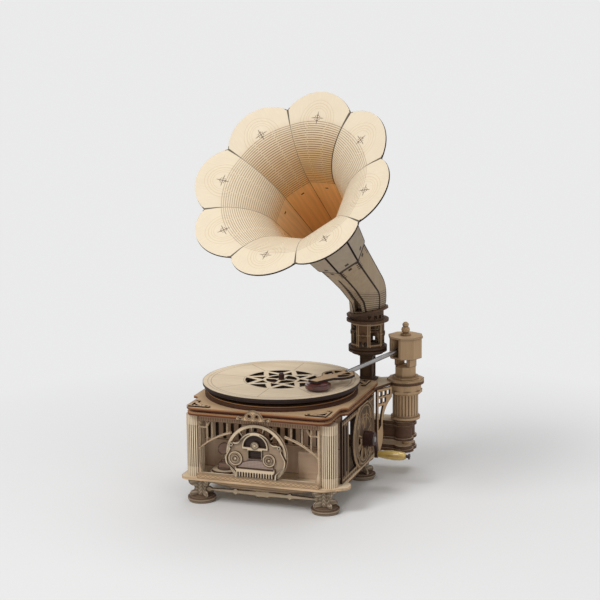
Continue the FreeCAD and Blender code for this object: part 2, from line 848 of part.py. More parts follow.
def corner_scroll(label, x, y, turn):
    loops = [outline(
        (0, 0), (17, 0), ((19.4, 2.2), (16.6, 4.4)), ((13.0, 4.2), (10.6, 6.4)), ((8.4, 8.4), (6.4, 10.6)),
        ((4.2, 13.0), (4.4, 16.6)), ((2.2, 19.4), (0, 17)),
    )]
    loops.append(circle(16.0, 2.2, 1.1))
    loops.append(circle(2.2, 16.0, 1.1))
    loops.append(outline((2.2, 2.2), (10.6, 2.2), ((7.6, 3.6), (5.4, 5.4)), ((3.6, 7.6), (2.2, 10.6))))
    body = plate(label, *loops, thickness="1.2")
    return put(body, x, y, "Sizes.deck_top", Rotation(Vector(0, 0, 1), turn))


group("corner_scrolls", [
    corner_scroll("scroll_front_left", "-61", "-70", 0),
    corner_scroll("scroll_front_right", "64", "-70", 90),
    corner_scroll("scroll_rear_right", "66", "58", 180),
    corner_scroll("scroll_rear_left", "-64", "58", 270),
])


# Turntable base and bush

put(stack(
    "turntable_base",
    ("0", "2.2", [circle(0, 0, size("base_r")), circle(0, 0, BUSH_R)]),
    ("2.2", "1.8", [circle(0, 0, size("base_r") - 2.0), circle(0, 0, BUSH_R)]),
), z="Sizes.deck_top")

put(plate(
    "platter_bush", circle(0, 0, BUSH_R), circle(0, 0, size("shaft_r") + size("running_play")),
    thickness="Sizes.platter_top - 2 * Sizes.ply - 0.3 - Sizes.deck_under",
), z="Sizes.deck_under")


# Platter: the star lattice disc, the disc under it, the shaft and the spindle

STAR_POINTS = 8


def platter_top():
    """Disc with a star of slender bars between its wide opening and the inner ring."""
    outer = size("star_r")
    waist = 19.5
    ring = 15.5
    step = 360.0 / STAR_POINTS
    loops = [circle(0, 0, size("platter_r"))]
    for point in range(STAR_POINTS):
        middle = point * step
        valley = middle + step / 2
        a = polar(outer, middle + 4.6)
        b = polar(waist + 2.2, valley)
        c = polar(outer, middle + step - 4.6)
        loops.append(outline(a, (polar(outer, valley), c), b))
        tip = polar(outer - 5.5, middle)
        left = polar(ring + 1.0, middle + step / 2 - 7.0)
        right = polar(ring + 1.0, middle - step / 2 + 7.0)
        loops.append(outline(right, tip, left, (polar(ring + 1.0, middle), right)))
    for spoke in range(4):
        loops.append(sector_window(5.0, ring - 2.0, 45 + 90 * spoke, 26.0, 38.0))
    loops.append(circle(0, 0, size("shaft_r")))
    return plate("platter_top", *loops)


put(platter_top(), z="Sizes.platter_top - Sizes.ply")


def platter_under():
    """The lower disc, with wide windows that keep the platter light."""
    loops = [circle(0, 0, size("platter_r") - 1.2), circle(0, 0, size("shaft_r"))]
    for window in range(6):
        loops.append(sector_window(13.0, 31.0, 60 * window, 21.0, 25.0))
    return plate("platter_under", *loops)


put(platter_under(), z="Sizes.platter_top - 2 * Sizes.ply")


def platter_shaft():
    """Shaft from the crown gear up to the platter's top, then the thinner spindle with its round point."""
    shaft, spindle = size("shaft_r"), size("spindle_r")
    low, top, tip = 74.0, size("platter_top"), size("spindle_top")
    return turned("platter_shaft", outline(
        (0, low), (shaft, low), (shaft, top), (spindle, top), (spindle, tip - 1.4),
        (spindle - 1.2, tip), (0, tip),
    ))


put(platter_shaft())


# Gears: each a disc with flat-sided teeth set round it

def gear(label, teeth_alias, phase, bore, windows=0):
    """Gear whose first tooth points along phase, in degrees."""
    teeth = int(size(teeth_alias))
    module = size("gear_module")
    pitch_r = module * teeth / 2
    root = pitch_r - 1.15 * module
    tip = pitch_r + 0.9 * module
    step = 360.0 / teeth
    body = new_body(label)
    loops = circle(0, 0, root) + circle(0, 0, bore)
    for window in range(windows):
        loops += sector_window(bore + 3.0, root - 3.0, phase + 360.0 / windows * window, 24.0, 32.0)
    pad(body, label + "_disc", loops, "Sizes.gear_ply")
    a = polar(root - 0.4, phase - 0.29 * step)
    b = polar(tip, phase - 0.12 * step)
    c = polar(tip, phase + 0.12 * step)
    d = polar(root - 0.4, phase + 0.29 * step)
    tooth = pad(body, label + "_tooth", outline(a, b, c, d), "Sizes.gear_ply")
    polar_pattern(body, [tooth], f"Sizes.{teeth_alias}")
    return body


def pitch_radius(alias):
    return size("gear_module") * size(alias) / 2


# the idler shaft crosses under the turntable's axis, as high as its pinion's mesh with the crank gear allows
CENTRES = pitch_radius("crank_teeth") + pitch_radius("pinion_teeth")
IDLER_Z = size("crank_z") + math.sqrt(CENTRES ** 2 - size("crank_y") ** 2)
MESH_ANGLE = math.degrees(math.atan2(IDLER_Z - size("crank_z"), -size("crank_y")))
PINION_STEP = 360.0 / size("pinion_teeth")
CROWN_STEP = 360.0 / size("crown_teeth")
CROWN_Z = IDLER_Z + pitch_radius("wheel_teeth")
WHEEL_X = pitch_radius("crown_teeth")
SPUR_X = WHEEL_X + 6.0

put(gear("crank_gear", "crank_teeth", MESH_ANGLE, size("axle_r")),
    str(SPUR_X - 1.0), "Sizes.crank_y", "Sizes.crank_z", FACING_SIDE)
idler_pinion = gear("idler_pinion", "pinion_teeth", MESH_ANGLE + 180 + PINION_STEP / 2, size("axle_r"))
idler_wheel = gear("idler_wheel", "wheel_teeth", 90.0, size("axle_r"))
group("idler_gears", [
    put(idler_pinion, str(SPUR_X - 1.0), "0", str(IDLER_Z), FACING_SIDE),
    put(idler_wheel, str(WHEEL_X - 1.0), "0", str(IDLER_Z), FACING_SIDE),
])
put(gear("crown_gear", "crown_teeth", CROWN_STEP / 2, size("shaft_r"), windows=4),
    "0", "0", str(CROWN_Z - 1.0))


ARM_X = size("crank_arm_x")
ARM_PLY = size("crank_arm_ply")


def axle(label, length, x, y, z):
    body = new_body(label)
    pad(body, label + "_rod", circle(0, 0, size("axle_r")), str(length))
    return put(body, x, y, z, FACING_SIDE)


BEARER_IN = 12.0
BEARER_OUT = SPUR_X + 4.0
axle("idler_shaft", BEARER_OUT + 2.0 - BEARER_IN, str(BEARER_IN), "0", str(IDLER_Z))
axle("crank_shaft", ARM_X + ARM_PLY + 0.6 - SPUR_X + 1.0, str(SPUR_X - 1.0), "Sizes.crank_y", "Sizes.crank_z")


def bearer(label, x, top, with_crank):
    low = size("floor_top")
    hole = size("axle_r") + size("running_play")
    loops = [outline((-12, low), (27, low), (27, 58), (10, top), (-10, top), (-12, 40))]
    loops.append(circle(0, IDLER_Z, hole))
    if with_crank:
        loops.append(circle(size("crank_y"), size("crank_z"), hole))
    else:
        loops.append(circle(8, 42, 6.0))
    return put(plate(label, *loops), x, "0", "0", FACING_SIDE)


group("gear_bearers", [
    bearer("bearer_inner", str(BEARER_IN), 71.5, False),
    bearer("bearer_outer", str(BEARER_OUT), size("deck_under"), True),
])


# Crank: hub and curved arm, the pin and the turned handle

HUB_X = 74.0
HUB_DEPTH = ARM_X - HUB_X


def crank_arm():
    """Round hub with a curved arm that ends in a small eye, and the handle's pin with its cap."""
    reach = size("crank_reach")
    lean = size("crank_lean")
    eye = polar(reach, lean)
    near_a, near_b = polar(6.2, lean + 62), polar(6.2, lean - 62)
    far_a = polar(3.6, lean + 80, *eye)
    far_b = polar(3.6, lean - 80, *eye)
    bow_a = polar(reach * 0.6, lean + 26)
    bow_b = polar(reach * 0.6, lean + 2)
    arm = outline(near_b, (bow_b, far_b), (polar(3.6, lean, *eye), far_a), (bow_a, near_a),
                  (polar(6.2, lean + 180), near_b))
    body = new_body("crank_arm")
    pad(body, "crank_arm_blade", arm + circle(0, 0, size("axle_r")), str(ARM_PLY), str(HUB_DEPTH))
    pad(body, "crank_arm_hub", circle(0, 0, 7.0) + circle(0, 0, size("axle_r")), str(HUB_DEPTH))
    pad(body, "crank_arm_pin", circle(*eye, 1.5), "30.5", str(HUB_DEPTH + 1.0))
    pad(body, "crank_arm_cap", circle(*eye, 2.6), "1.0", str(HUB_DEPTH + 31.0))
    return body


put(crank_arm(), str(HUB_X), "Sizes.crank_y", "Sizes.crank_z", FACING_SIDE)

LEAN = math.radians(size("crank_lean"))
HANDLE_Y = size("crank_y") + size("crank_reach") * math.cos(LEAN)
HANDLE_Z = size("crank_z") + size("crank_reach") * math.sin(LEAN)
HANDLE_X = ARM_X + ARM_PLY + 0.2

handle = turned("crank_handle", outline(
    (1.56, 0), (2.6, 0), (3.5, 5.0), (4.1, 10.0), (4.4, 15.0), (4.2, 20.0), (3.6, 23.5), (2.7, 25.4),
    (1.56, 26.0),
))
put(handle, str(HANDLE_X), str(HANDLE_Y), str(HANDLE_Z), Rotation(Vector(0, 1, 0), 90))


# Side corbel and rear bracket that carry the shelf

CORBEL_TURN = Rotation(Vector(0, 0, 1), 63.4) * Rotation(Vector(1, 0, 0), 90)


def corbel():
    """Board from the wall's corner toward the tower: windows over a quarter arch, and a pointed foot."""
    top = size("shelf_top") - 2.5
    loops = [outline(
        (0, size("floor_top")), (0, top), (20, top), (20, top - 10.0), ((11, top - 20), (8, 46)),
        ((7.2, 34), (3.0, size("floor_top"))),
    )]
    for column in range(3):
        x = 2.2 + column * 5.6
        loops.append(rectangle(x, top - 7.0, x + 4.0, top - 2.6))
    for column in range(2):
        x = 2.2 + column * 5.6
        loops.append(rectangle(x, top - 13.4, x + 4.0, top - 8.8))
    loops.append(outline((2.0, 68), (8.6, 68), ((6.6, 62), (5.6, 50)), (2.0, 46)))
    return plate("side_corbel", *loops)


put(corbel(), "73.3", "46.8", "0", CORBEL_TURN)


def rear_bracket():
    """Board behind the back wall, under the horn's column, that also holds the tower's shelves."""
    top = size("shelf_top") - 2.5
    back = size("case_back")
    loops = [outline(
        (back, size("floor_top")), (back, top), (back + 22, top), (back + 22, top - 8),
        ((back + 19, 60), (back + 24, 49)), (back + 24, size("floor_top")),
    )]
    for column in range(2):
        y = back + 3.5 + column * 8.0
        loops.append(rectangle(y, top - 10.0, y + 5.4, top - 3.0))
    loops.append(wall_window(back + 5, 28, back + 14, 62))
    return plate("rear_bracket", *loops)


put(rear_bracket(), "Sizes.column_x - Sizes.ply - 0.2", "0", "0", FACING_SIDE)


# Shelf round the rear right corner, under the column and the tonearm's tower

def shelf():
    """Its inner edge follows the deck's spacer; its outer edge bulges round the tower and the column."""
    tower = (size("tower_x"), size("tower_y"))
    column = (size("column_x"), size("column_y"))
    side = size("case_right") - 2.5
    back = size("case_back") - 3.5
    return plate("shelf", outline(
        (side, back - 8), (side, 44), (73.0, 44), (polar(17.0, 235, *tower)),
        (polar(17.0, -10, *tower), polar(17.0, 105, *tower)), ((78, 89), (polar(15.5, 55, *column))),
        (polar(15.5, 115, *column), polar(15.5, 180, *column)), (polar(15.5, 180, *column)[0], back),
        (side - 8, back), ((side - 2.4, back - 2.4), (side, back - 8)),
    ), circle(*tower, 11.0), thickness="2.5")


put(shelf(), z="Sizes.shelf_top - 2.5")


# Tonearm tower: lower shelf plates, stem, fluted cylinder and collar

def shelf_layer(grow):
    """Board from the rear bracket to the tower's stem, with a round end."""
    x, y = size("tower_x"), size("tower_y")
    bracket = size("column_x") - 0.2
    edge = outline(
        (bracket, 70 - grow), (84, 70 - grow), (polar(11.0 + grow, -35, x, y), (x + 7.5 + grow, y)),
        (polar(11.0 + grow, 35, x, y), (84, 92 + grow)), (bracket, 92 + grow),
    )
    return [edge, circle(x, y, 3.0)]


lower_shelf = stack(
    "lower_shelf",
    ("20.5", "2.5", shelf_layer(0.0)),
    ("23.0", "3.0", shelf_layer(-1.5)),
)
middle_shelf = stack(
    "middle_shelf",
    ("31.5", "2.0", shelf_layer(0.0)),
    ("33.5", "10.0", shelf_layer(-2.0)),
    ("43.5", "2.0", shelf_layer(0.0)),
    ("45.5", "3.5", shelf_layer(-1.0)),
)
group("tower_shelves", [put(lower_shelf), put(middle_shelf)])


def tower_post():
    """Stem and fluted cylinder on the tower's axis."""
    body = turned("tower_post", outline(
        (0, 20.5), (3.0, 20.5), (3.0, 49.0), (9.0, 49.0), (9.0, 50.5), (13.5, 50.5), (13.5, 53.0),
        (11.8, 53.0), (11.8, 75.0), (10.9, 75.0), (10.9, 88.0), (0, 88.0),
    ))
    flutes(body, 11.8, "54.5", "19", "24")
    return body


put(tower_post(), "Sizes.tower_x", "Sizes.tower_y")


def regular(count, radius, phase=0.0):
    points = [polar(radius, phase + 360.0 / count * k) for k in range(count)]
    return outline(points[0], *points[1:])


put(stack(
    "tower_collar",
    ("75.0", "3.0", [regular(8, 15.6, 22.5), circle(0, 0, 10.9)]),
    ("78.0", "6.0", [circle(0, 0, 14.4), circle(0, 0, 10.9)]),
    ("86.5", "1.8", [regular(8, 17.2, 22.5), circle(0, 0, 10.9)]),
), "Sizes.tower_x", "Sizes.tower_y")


# Turning head of the tonearm: open neck, eight-sided drum and finial

HEAD_LOW = 88.4
DRUM_LOW = 108.0
DRUM_HIGH = 126.5
TUBE_Z = 117.0
PIN_R = 1.0
ARM_TURN = Rotation(Vector(0, 0, 1), size("arm_heading"))


def arm_head():
    """Neck with an opening through it, then the drum with a slot for the tube."""
    body = new_body("arm_head")
    pad(body, "head_foot", regular(8, 12.5, 22.5), "2.0", str(HEAD_LOW))
    pad(body, "head_neck", regular(8, 9.8, 22.5), "9.6", str(HEAD_LOW + 2.0))
    for side in (-1, 1):
        post = rectangle(-5.0, side * 8.8, 5.0, side * 5.2)
        pad(body, f"head_post_{side + 2}", post, str(DRUM_LOW - HEAD_LOW - 11.6), str(HEAD_LOW + 11.6))
    pad(body, "head_drum", regular(8, 15.4, 22.5), str(DRUM_HIGH - DRUM_LOW), str(DRUM_LOW))
    pad(body, "head_cap", regular(8, 16.4, 22.5), "1.8", str(DRUM_HIGH))
    slot = body.newObject("PartDesign::Pocket", "head_slot")
    opening = rectangle(-4.0, -3.2, 20.0, 3.2)
    slot.Profile = sketch_on(body, "head_slot_sketch", opening, height=str(DRUM_HIGH))
    slot.setExpression("Length", str(DRUM_HIGH - DRUM_LOW - 1.5))
    pin = body.newObject("PartDesign::Pad", "head_pin")
    pin.Profile = sketch_on(body, "head_pin_sketch", circle(0, TUBE_Z, PIN_R), role="XZ_Plane")
    pin.Length = 10.0
    pin.Midplane = True
    finial = body.newObject("PartDesign::Revolution", "head_finial")
    knob = sketch_on(body, "head_finial_profile", outline(
        (0, 128.0), (4.6, 128.0), (4.6, 129.8), (2.4, 130.6), (3.7, 132.2), (3.9, 133.6), (3.6, 135.2),
        (2.2, 136.6), (2.9, 137.4), (2.9, 139.0), (1.4, 140.6), (0, 140.6),
    ), role="XZ_Plane")
    finial.Profile = knob
    finial.ReferenceAxis = (knob, ["V_Axis"])
    finial.Angle = 360.0
    return body


put(arm_head(), "Sizes.tower_x", "Sizes.tower_y", "0", ARM_TURN)


def along_arm(distance, z):
    """A point on the arm's line, this far from the tower's axis."""
    heading = math.radians(size("arm_heading"))
    return (str(size("tower_x") + distance * math.cos(heading)),
            str(size("tower_y") + distance * math.sin(heading)), str(z))


# Tube: slopes down from the eye on its pivot pin to the headshell

EYE = 4.0
TUBE_END = 81.4
TUBE_END_Z = 108.6
TUBE_SLOPE = math.degrees(math.atan2(TUBE_Z - TUBE_END_Z, TUBE_END))


def arm_tube():
    """Square eye round the pivot pin, then the tube; its own Z runs along the tube."""
    body = new_body("arm_tube")
    pad(body, "tube_eye", rectangle(-2.8, -2.9, 2.8, 2.9), str(EYE + 2.8), "-2.8")
    length = math.hypot(TUBE_END, TUBE_Z - TUBE_END_Z) - EYE
    pad(body, "tube_rod", circle(0, 0, size("tube_r")), str(length), str(EYE))
    bore = body.newObject("PartDesign::Pocket", "tube_bore")
    hole = circle(0, 0, PIN_R + size("running_play"))
    bore.Profile = sketch_on(body, "tube_bore_sketch", hole, role="XZ_Plane")
    bore.Type = "ThroughAll"
    bore.Midplane = True
    return body


put(arm_tube(), *along_arm(0.0, TUBE_Z), turn=ARM_TURN * Rotation(Vector(0, 1, 0), 90 + TUBE_SLOPE))


def headshell():
    """Openwork frame: a rounded tail with a lattice, and a straight bar to the soundbox."""
    tail = 12.5
    loops = [outline(
        (5.0, 2.0), (5.0, -2.0), (0, -2.0), (0, -4.0), (8, -tail), ((20, -tail - 1.0), (29, -7.0)),
        (41, -5.0), (49, -5.0), (49, 5.0), (41, 5.0), (29, 7.0), ((20, tail + 1.0), (8, tail)),
        (0, 4.0), (0, 2.0),
    )]
    for side in (-1, 1):
        loops.append(outline((6.6, side * 3.6), (9.6, side * 9.8), (15.4, side * 3.6)))
        loops.append(outline(
            (12.6, side * 10.6), (19.0, side * 3.2), (24.4, side * 7.4),
            ((19.0, side * 11.2), (12.6, side * 10.6)),
        ))
    return plate("headshell", *loops)


put(headshell(), *along_arm(76.5, 107.6), turn=ARM_TURN)

soundbox_drum = turned("soundbox_drum", outline(
    (0, 100.9), (8.6, 100.9), (9.4, 101.6), (9.4, 102.6), (11.2, 102.6), (11.2, 105.6), (9.4, 105.6),
    (9.4, 106.6), (4.0, 107.6), (0, 107.6),
))
needle = turned("needle", outline((0, 100.2), (0.4, 100.6), (0.4, 100.9), (0, 100.9)))
group("soundbox", [
    put(soundbox_drum, *along_arm(size("arm_length"), 0.0)),
    put(needle, *along_arm(size("arm_length") + 6.0, 0.0)),
])


# Horn column: panelled square post, flange discs, windowed drum and level ring

def horn_column():
    """Square post with a sunk panel on each side, under three round discs."""
    half = 5.8
    body = stack(
        "horn_column",
        ("0", "1.8", [rectangle(-half - 2, -half - 2, half + 2, half + 2)]),
        ("1.8", "22.0", [rectangle(-half, -half, half, half)]),
        ("23.8", "2.2", [rectangle(-half - 1.2, -half - 1.2, half + 1.2, half + 1.2)]),
        ("26.0", "2.0", [circle(0, 0, 14.5)]),
        ("28.0", "2.0", [circle(0, 0, 17.6)]),
        ("30.0", "1.0", [circle(0, 0, 16.2)]),
        ("31.0", "2.0", [circle(0, 0, 17.6)]),
    )
    panel = body.newObject("PartDesign::Pocket", "column_panel")
    base = outline((half - 0.8, -half + 1.4), (half + 0.2, -half + 1.4), (half + 0.2, half - 1.4),
                   (half - 0.8, half - 1.4))
    panel.Profile = sketch_on(body, "column_panel_sketch", base, height="4.0")
    panel.setExpression("Length", "17.5")
    panel.Reversed = True
    polar_pattern(body, [panel], "4")
    return body


put(horn_column(), "Sizes.column_x", "Sizes.column_y", "Sizes.shelf_top")


# Drum over the flange discs: panels with a round medallion, and tall barred windows between them

DRUM_Z = 119.5
LEVEL_RING_Z = 142.5
DRUM_HEIGHT = LEVEL_RING_Z - DRUM_Z


def horn_drum():
    """Thin-walled drum, open through its windows; two small square holes stand under each medallion."""
    body = new_body("horn_drum")
    wall = circle(0, 0, size("drum_r")) + circle(0, 0, size("drum_bore"))
    pad(body, "drum_wall", wall, str(DRUM_HEIGHT))
    medallion_z = 11.7
    disc = circle(0, medallion_z, 2.6) + circle(0, medallion_z, 1.5)
    medallion = side_feature(body, "Pad", "drum_medallion", disc, size("drum_r") - 1.0, 1.6)
    polar_pattern(body, [medallion], "4")
    squares = rectangle(-3.3, 1.4, -0.8, 5.4) + rectangle(0.8, 1.4, 3.3, 5.4)
    holes = side_feature(body, "Pocket", "drum_squares", squares, size("drum_bore") - 2.0, 6.0)
    polar_pattern(body, [holes], "4")
    barred = rectangle(-4.6, 3.0, 4.6, 14.4) + rectangle(-4.6, 15.6, 4.6, 20.0)
    windows = side_feature(body, "Pocket", "drum_windows", barred, size("drum_bore") - 4.0, 8.0, heading=45.0)
    polar_pattern(body, [windows], "4")
    return body


put(horn_drum(), "Sizes.column_x", "Sizes.column_y", str(DRUM_Z))


def flange_ring(label):
    return plate(label, circle(0, 0, size("ring_r")), circle(0, 0, size("drum_bore")))


level_ring = put(flange_ring("level_ring"), "Sizes.column_x", "Sizes.column_y", str(LEVEL_RING_Z))


# Frame of the horn: its line lies in one upright plane through the column's axis

HEADING = math.radians(size("horn_heading"))
RISE = math.radians(size("mouth_rise"))


def in_horn_plane(reach, z):
    """A point this far from the column's axis, in the horn's plane."""
    return Vector(
        size("box_x") + size("column_x") + reach * math.cos(HEADING),
        size("box_y") + size("column_y") + reach * math.sin(HEADING), z,
    )


def plane_rotation(tilt):
    """Turns +Z to a direction in the horn's plane, tilt degrees from upright; +X stays in that plane."""
    return Rotation(Vector(0, 0, 1), size("horn_heading")) * Rotation(Vector(0, 1, 0), tilt)


MOUTH = in_horn_plane(size("mouth_reach"), size("mouth_z"))
MOUTH_TILT = 90.0 - size("mouth_rise")
BELL_TURN = plane_rotation(MOUTH_TILT)


# Tilted ring and the wedge-shaped drum under it: both lean toward -X, so the wedge is highest at +X

TILTED_RING_Z = 150.5
RING_FALL = math.tan(math.radians(size("ring_tilt")))

tilted_ring = flange_ring("tilted_ring")
lean = Rotation(Vector(0, 1, 0), -size("ring_tilt"))
tilted_ring.Placement = Placement(in_horn_plane(0.0, TILTED_RING_Z), lean)
pieces.append(tilted_ring)


def neck_wedge():
    """Short drum cut off at a slant, with a row of small square windows in its high side."""
    body = new_body("neck_wedge")
    pad(body, "wedge_drum", circle(0, 0, size("drum_r") - 0.6) + circle(0, 0, size("drum_bore")), "18")
    middle = TILTED_RING_Z - LEVEL_RING_Z - size("ply")
    slant = body.newObject("PartDesign::Pocket", "wedge_slant")
    slant.Profile = sketch_on(body, "wedge_slant_sketch", outline(
        (-20, middle - 20 * RING_FALL), (20, middle + 20 * RING_FALL), (20, 30), (-20, 30),
    ), role="XZ_Plane")
    slant.Type = "ThroughAll"
    slant.Midplane = True
    opening = rectangle(-1.6, 1.6, 1.6, 4.6)
    window = side_feature(body, "Pocket", "wedge_window", opening, size("drum_bore") - 2.0, 6.0, heading=22.5)
    polar_pattern(body, [window], "7", angle=135.0)
    return body


wedge = put(neck_wedge(), "Sizes.column_x", "Sizes.column_y", str(LEVEL_RING_Z + size("ply")))
group("neck_rings", [level_ring, wedge, tilted_ring])


# Neck: eight flat strips that rise from the tilted ring and bend over to the bell's throat

THROAT = (
    size("mouth_reach") - size("bell_length") * math.cos(RISE),
    size("mouth_z") - size("bell_length") * math.sin(RISE),
)
NECK_FOOT_Z = TILTED_RING_Z + size("ply") / math.cos(math.radians(size("ring_tilt")))
NECK_TILT = math.radians(90.0 - size("neck_rise"))
NECK_WALL = 1.5
BEND_STEPS = 5
STRAIGHT_STEPS = 3
HALF_FACE = math.tan(math.radians(22.5))


def meet(p, d, q, e):
    """Where the line from p along d crosses the line from q along e."""
    along = ((q[0] - p[0]) * e[1] - (q[1] - p[1]) * e[0]) / (d[0] * e[1] - d[1] * e[0])
    return (p[0] + d[0] * along, p[1] + d[1] * along)


def neck_stations():
    """(reach, z, tilt in radians, apothem) at each cross-section, from the ring up to the throat."""
    foot = (0.0, NECK_FOOT_Z)
    out = (math.sin(NECK_TILT), math.cos(NECK_TILT))
    corner = meet(foot, (0.0, 1.0), THROAT, out)
    radius = size("neck_bend_r")
    tangent = radius * math.tan(NECK_TILT / 2)
    upright = math.dist(foot, corner) - tangent
    straight = math.dist(corner, THROAT) - tangent
    total = upright + radius * NECK_TILT + straight
    grow = (size("throat_apothem") - size("neck_apothem")) / total
    stations = [(0.0, NECK_FOOT_Z, 0.0, size("neck_apothem"))]
    for step in range(BEND_STEPS + 1):
        tilt = NECK_TILT * step / BEND_STEPS
        reach = radius * (1 - math.cos(tilt))
        z = NECK_FOOT_Z + upright + radius * math.sin(tilt)
        stations.append((reach, z, tilt, size("neck_apothem") + grow * (upright + radius * tilt)))
    for step in range(1, STRAIGHT_STEPS):
        left = straight * (1 - step / STRAIGHT_STEPS)
        place = (THROAT[0] - out[0] * left, THROAT[1] - out[1] * left)
        stations.append((*place, NECK_TILT, size("throat_apothem") - grow * left))
    stations.append((*THROAT, math.radians(MOUTH_TILT), size("throat_apothem")))
    return stations


def underside_distance(station):
    """How far the neck's front face stands from the middle: it follows one smooth hollow curve."""
    reach, z, tilt, apothem = station
    foot = (size("neck_apothem"), NECK_FOOT_Z)
    bow = (size("neck_apothem"), NECK_FOOT_Z + 12.5)
    end_tilt = math.radians(MOUTH_TILT)
    throat_r = size("throat_apothem")
    end = (THROAT[0] + throat_r * math.cos(end_tilt), THROAT[1] - throat_r * math.sin(end_tilt))
    axis = (math.sin(tilt), math.cos(tilt))

    def on_curve(s):
        return [foot[i] * (1 - s) ** 2 + 2 * bow[i] * s * (1 - s) + end[i] * s ** 2 for i in (0, 1)]

    def beyond(s):
        here = on_curve(s)
        return (here[0] - reach) * axis[0] + (here[1] - z) * axis[1]

    low, high = 0.0, 1.0
    for _ in range(40):
        middle = (low + high) / 2
        if beyond(middle) < 0:
            low = middle
        else:
            high = middle
    here = on_curve(high)
    return (here[0] - reach) * math.cos(tilt) - (here[1] - z) * math.sin(tilt)


def neck_corner(station, number, depth, lift=0.0):
    """Corner between faces number and number + 1, moved in or out by depth."""
    reach, z, tilt, apothem = station
    angle = math.radians(22.5 + 45.0 * number)
    radius = apothem / math.cos(math.radians(22.5))
    across = radius * math.sin(angle)
    toward = radius * math.cos(angle)
    if number in (0, 7):
        toward = underside_distance(station)
    scale = 1 + depth / apothem
    place = Placement(in_horn_plane(reach, z), plane_rotation(math.degrees(tilt)))
    corner = place.multVec(Vector(toward * scale, across * scale, 0))
    if z == NECK_FOOT_Z:
        corner.z += (corner.x - size("box_x") - size("column_x")) * RING_FALL + lift
    return corner


def neck_section(station, face, low, high, inner, outer, lift=0.0):
    """Wire of one face of the tube at one station; low and high run from -1 to 1 across the face."""
    corners = []
    for depth, across in ((inner, low), (inner, high), (outer, high), (outer, low)):
        one = neck_corner(station, (face - 1) % 8, depth, lift)
        other = neck_corner(station, face, depth, lift)
        corners.append(one + (other - one) * ((1 + across) / 2))
    return Part.makePolygon(corners + corners[:1])


def neck_face(stations, face):
    wires = [neck_section(station, face, -0.985, 0.985, -NECK_WALL, 0.0) for station in stations]
    return Part.makeLoft(wires, True, True)


def underside_window(stations, face):
    """Cutter for the pointed opening under the bend: widest just over the ring, and closing upward."""
    last = len(stations) - 1
    wires = []
    for number, station in enumerate(stations):
        closing = 1 - number / last
        low = -0.1 - 0.65 * closing
        high = 0.02 + 0.33 * closing
        wires.append(neck_section(station, face, low, high, -NECK_WALL - 1.0, 1.0, lift=1.8))
    return Part.makeLoft(wires, True, True)


def solid_piece(label, shape):
    feature = doc.addObject("Part::Feature", label)
    feature.Label = label
    feature.Shape = shape
    pieces.append(feature)
    return feature


STATIONS = neck_stations()
neck_panels = [neck_face(STATIONS, face) for face in range(8)]
neck_panels[0] = neck_panels[0].cut(underside_window(STATIONS[:-1], 0))
solid_piece("neck_panels", Part.makeCompound(neck_panels))


# Petals: long strips that run straight up the bell, bend outwards and end in a round lobe

def petal_profile():
    """Side view of a petal's inner face, as (radius, height behind the mouth's plane)."""
    tip = (size("tip_r"), 0.0)
    fold = (size("fold_r"), -size("lobe_drop"))
    throat = (size("throat_apothem"), -size("bell_length"))
    cone = (29.2, -56.0)
    lobe = (tip[0] - fold[0], tip[1] - fold[1])
    side = (cone[0] - throat[0], cone[1] - throat[1])
    corner = meet(fold, lobe, cone, side)
    tangent = math.dist(corner, fold)
    down = math.hypot(*side)
    start = (corner[0] - side[0] / down * tangent, corner[1] - side[1] / down * tangent)
    return tip, fold, corner, start, throat


def offset(point, direction, distance):
    """Move a point square to a direction, to the outside of the bell."""
    length = math.hypot(*direction)
    return (point[0] + direction[1] / length * distance, point[1] - direction[0] / length * distance)


def petal(index):
    label = f"petal_{index + 1}"
    body = new_body(label)
    tip, fold, corner, start, throat = petal_profile()
    ply = size("thin_ply")
    rising = (tip[0] - fold[0], tip[1] - fold[1])
    climbing = (start[0] - throat[0], start[1] - throat[1])
    normal_a = offset((0, 0), rising, 1.0)
    normal_b = offset((0, 0), climbing, 1.0)
    half = math.acos(max(-1.0, min(1.0, normal_a[0] * normal_b[0] + normal_a[1] * normal_b[1]))) / 2
    radius = math.dist(corner, fold) / math.tan(half)
    centre = (fold[0] + normal_a[0] * radius, fold[1] + normal_a[1] * radius)
    toward = (corner[0] - centre[0], corner[1] - centre[1])
    reach = math.hypot(*toward)

    def on_bend(r):
        return (centre[0] + toward[0] / reach * r, centre[1] + toward[1] / reach * r)

    profile = outline(
        throat, start, (on_bend(radius), fold), tip,
        offset(tip, rising, ply), offset(fold, rising, ply),
        (on_bend(radius - ply), offset(start, climbing, ply)), offset(throat, climbing, ply),
    )
    strip = body.newObject("PartDesign::Pad", label + "_strip")
    strip.Profile = sketch_on(body, label + "_side_view", profile, role="XZ_Plane")
    strip.Length = 80.0
    strip.Midplane = True
    edge = math.tan(math.radians(180.0 / size("petal_count"))) * 0.996
    root = size("lobe_root_r")
    top = size("tip_r")
    keep = outline(
        (5.0, -5.0 * edge), (root, -root * edge), ((top, 0.0), (root, root * edge)), (5.0, 5.0 * edge),
    )
    trim = body.newObject("PartDesign::Pocket", label + "_trim")
    trim.Profile = sketch_on(body, label + "_front_view", rectangle(-5, -60, 120, 60) + keep)
    trim.Type = "ThroughAll"
    trim.Midplane = True
    turn = BELL_TURN.multiply(Rotation(Vector(0, 0, 1), 360.0 / size("petal_count") * index))
    body.Placement = Placement(MOUTH, turn)
    pieces.append(body)
    return body


for number in range(int(size("petal_count"))):
    petal(number)


# Checks and export

doc.recompute()
problems = []
for item in doc.Objects:
    if "Invalid" in item.State or "Error" in item.State:
        problems.append(f"{item.Name}: {item.State}")
for piece in pieces:
    shape = piece.Shape
    if shape.isNull() or not shape.isValid() or not shape.Solids:
        problems.append(f"{piece.Label}: bad shape")
if problems:
    raise RuntimeError("; ".join(problems))

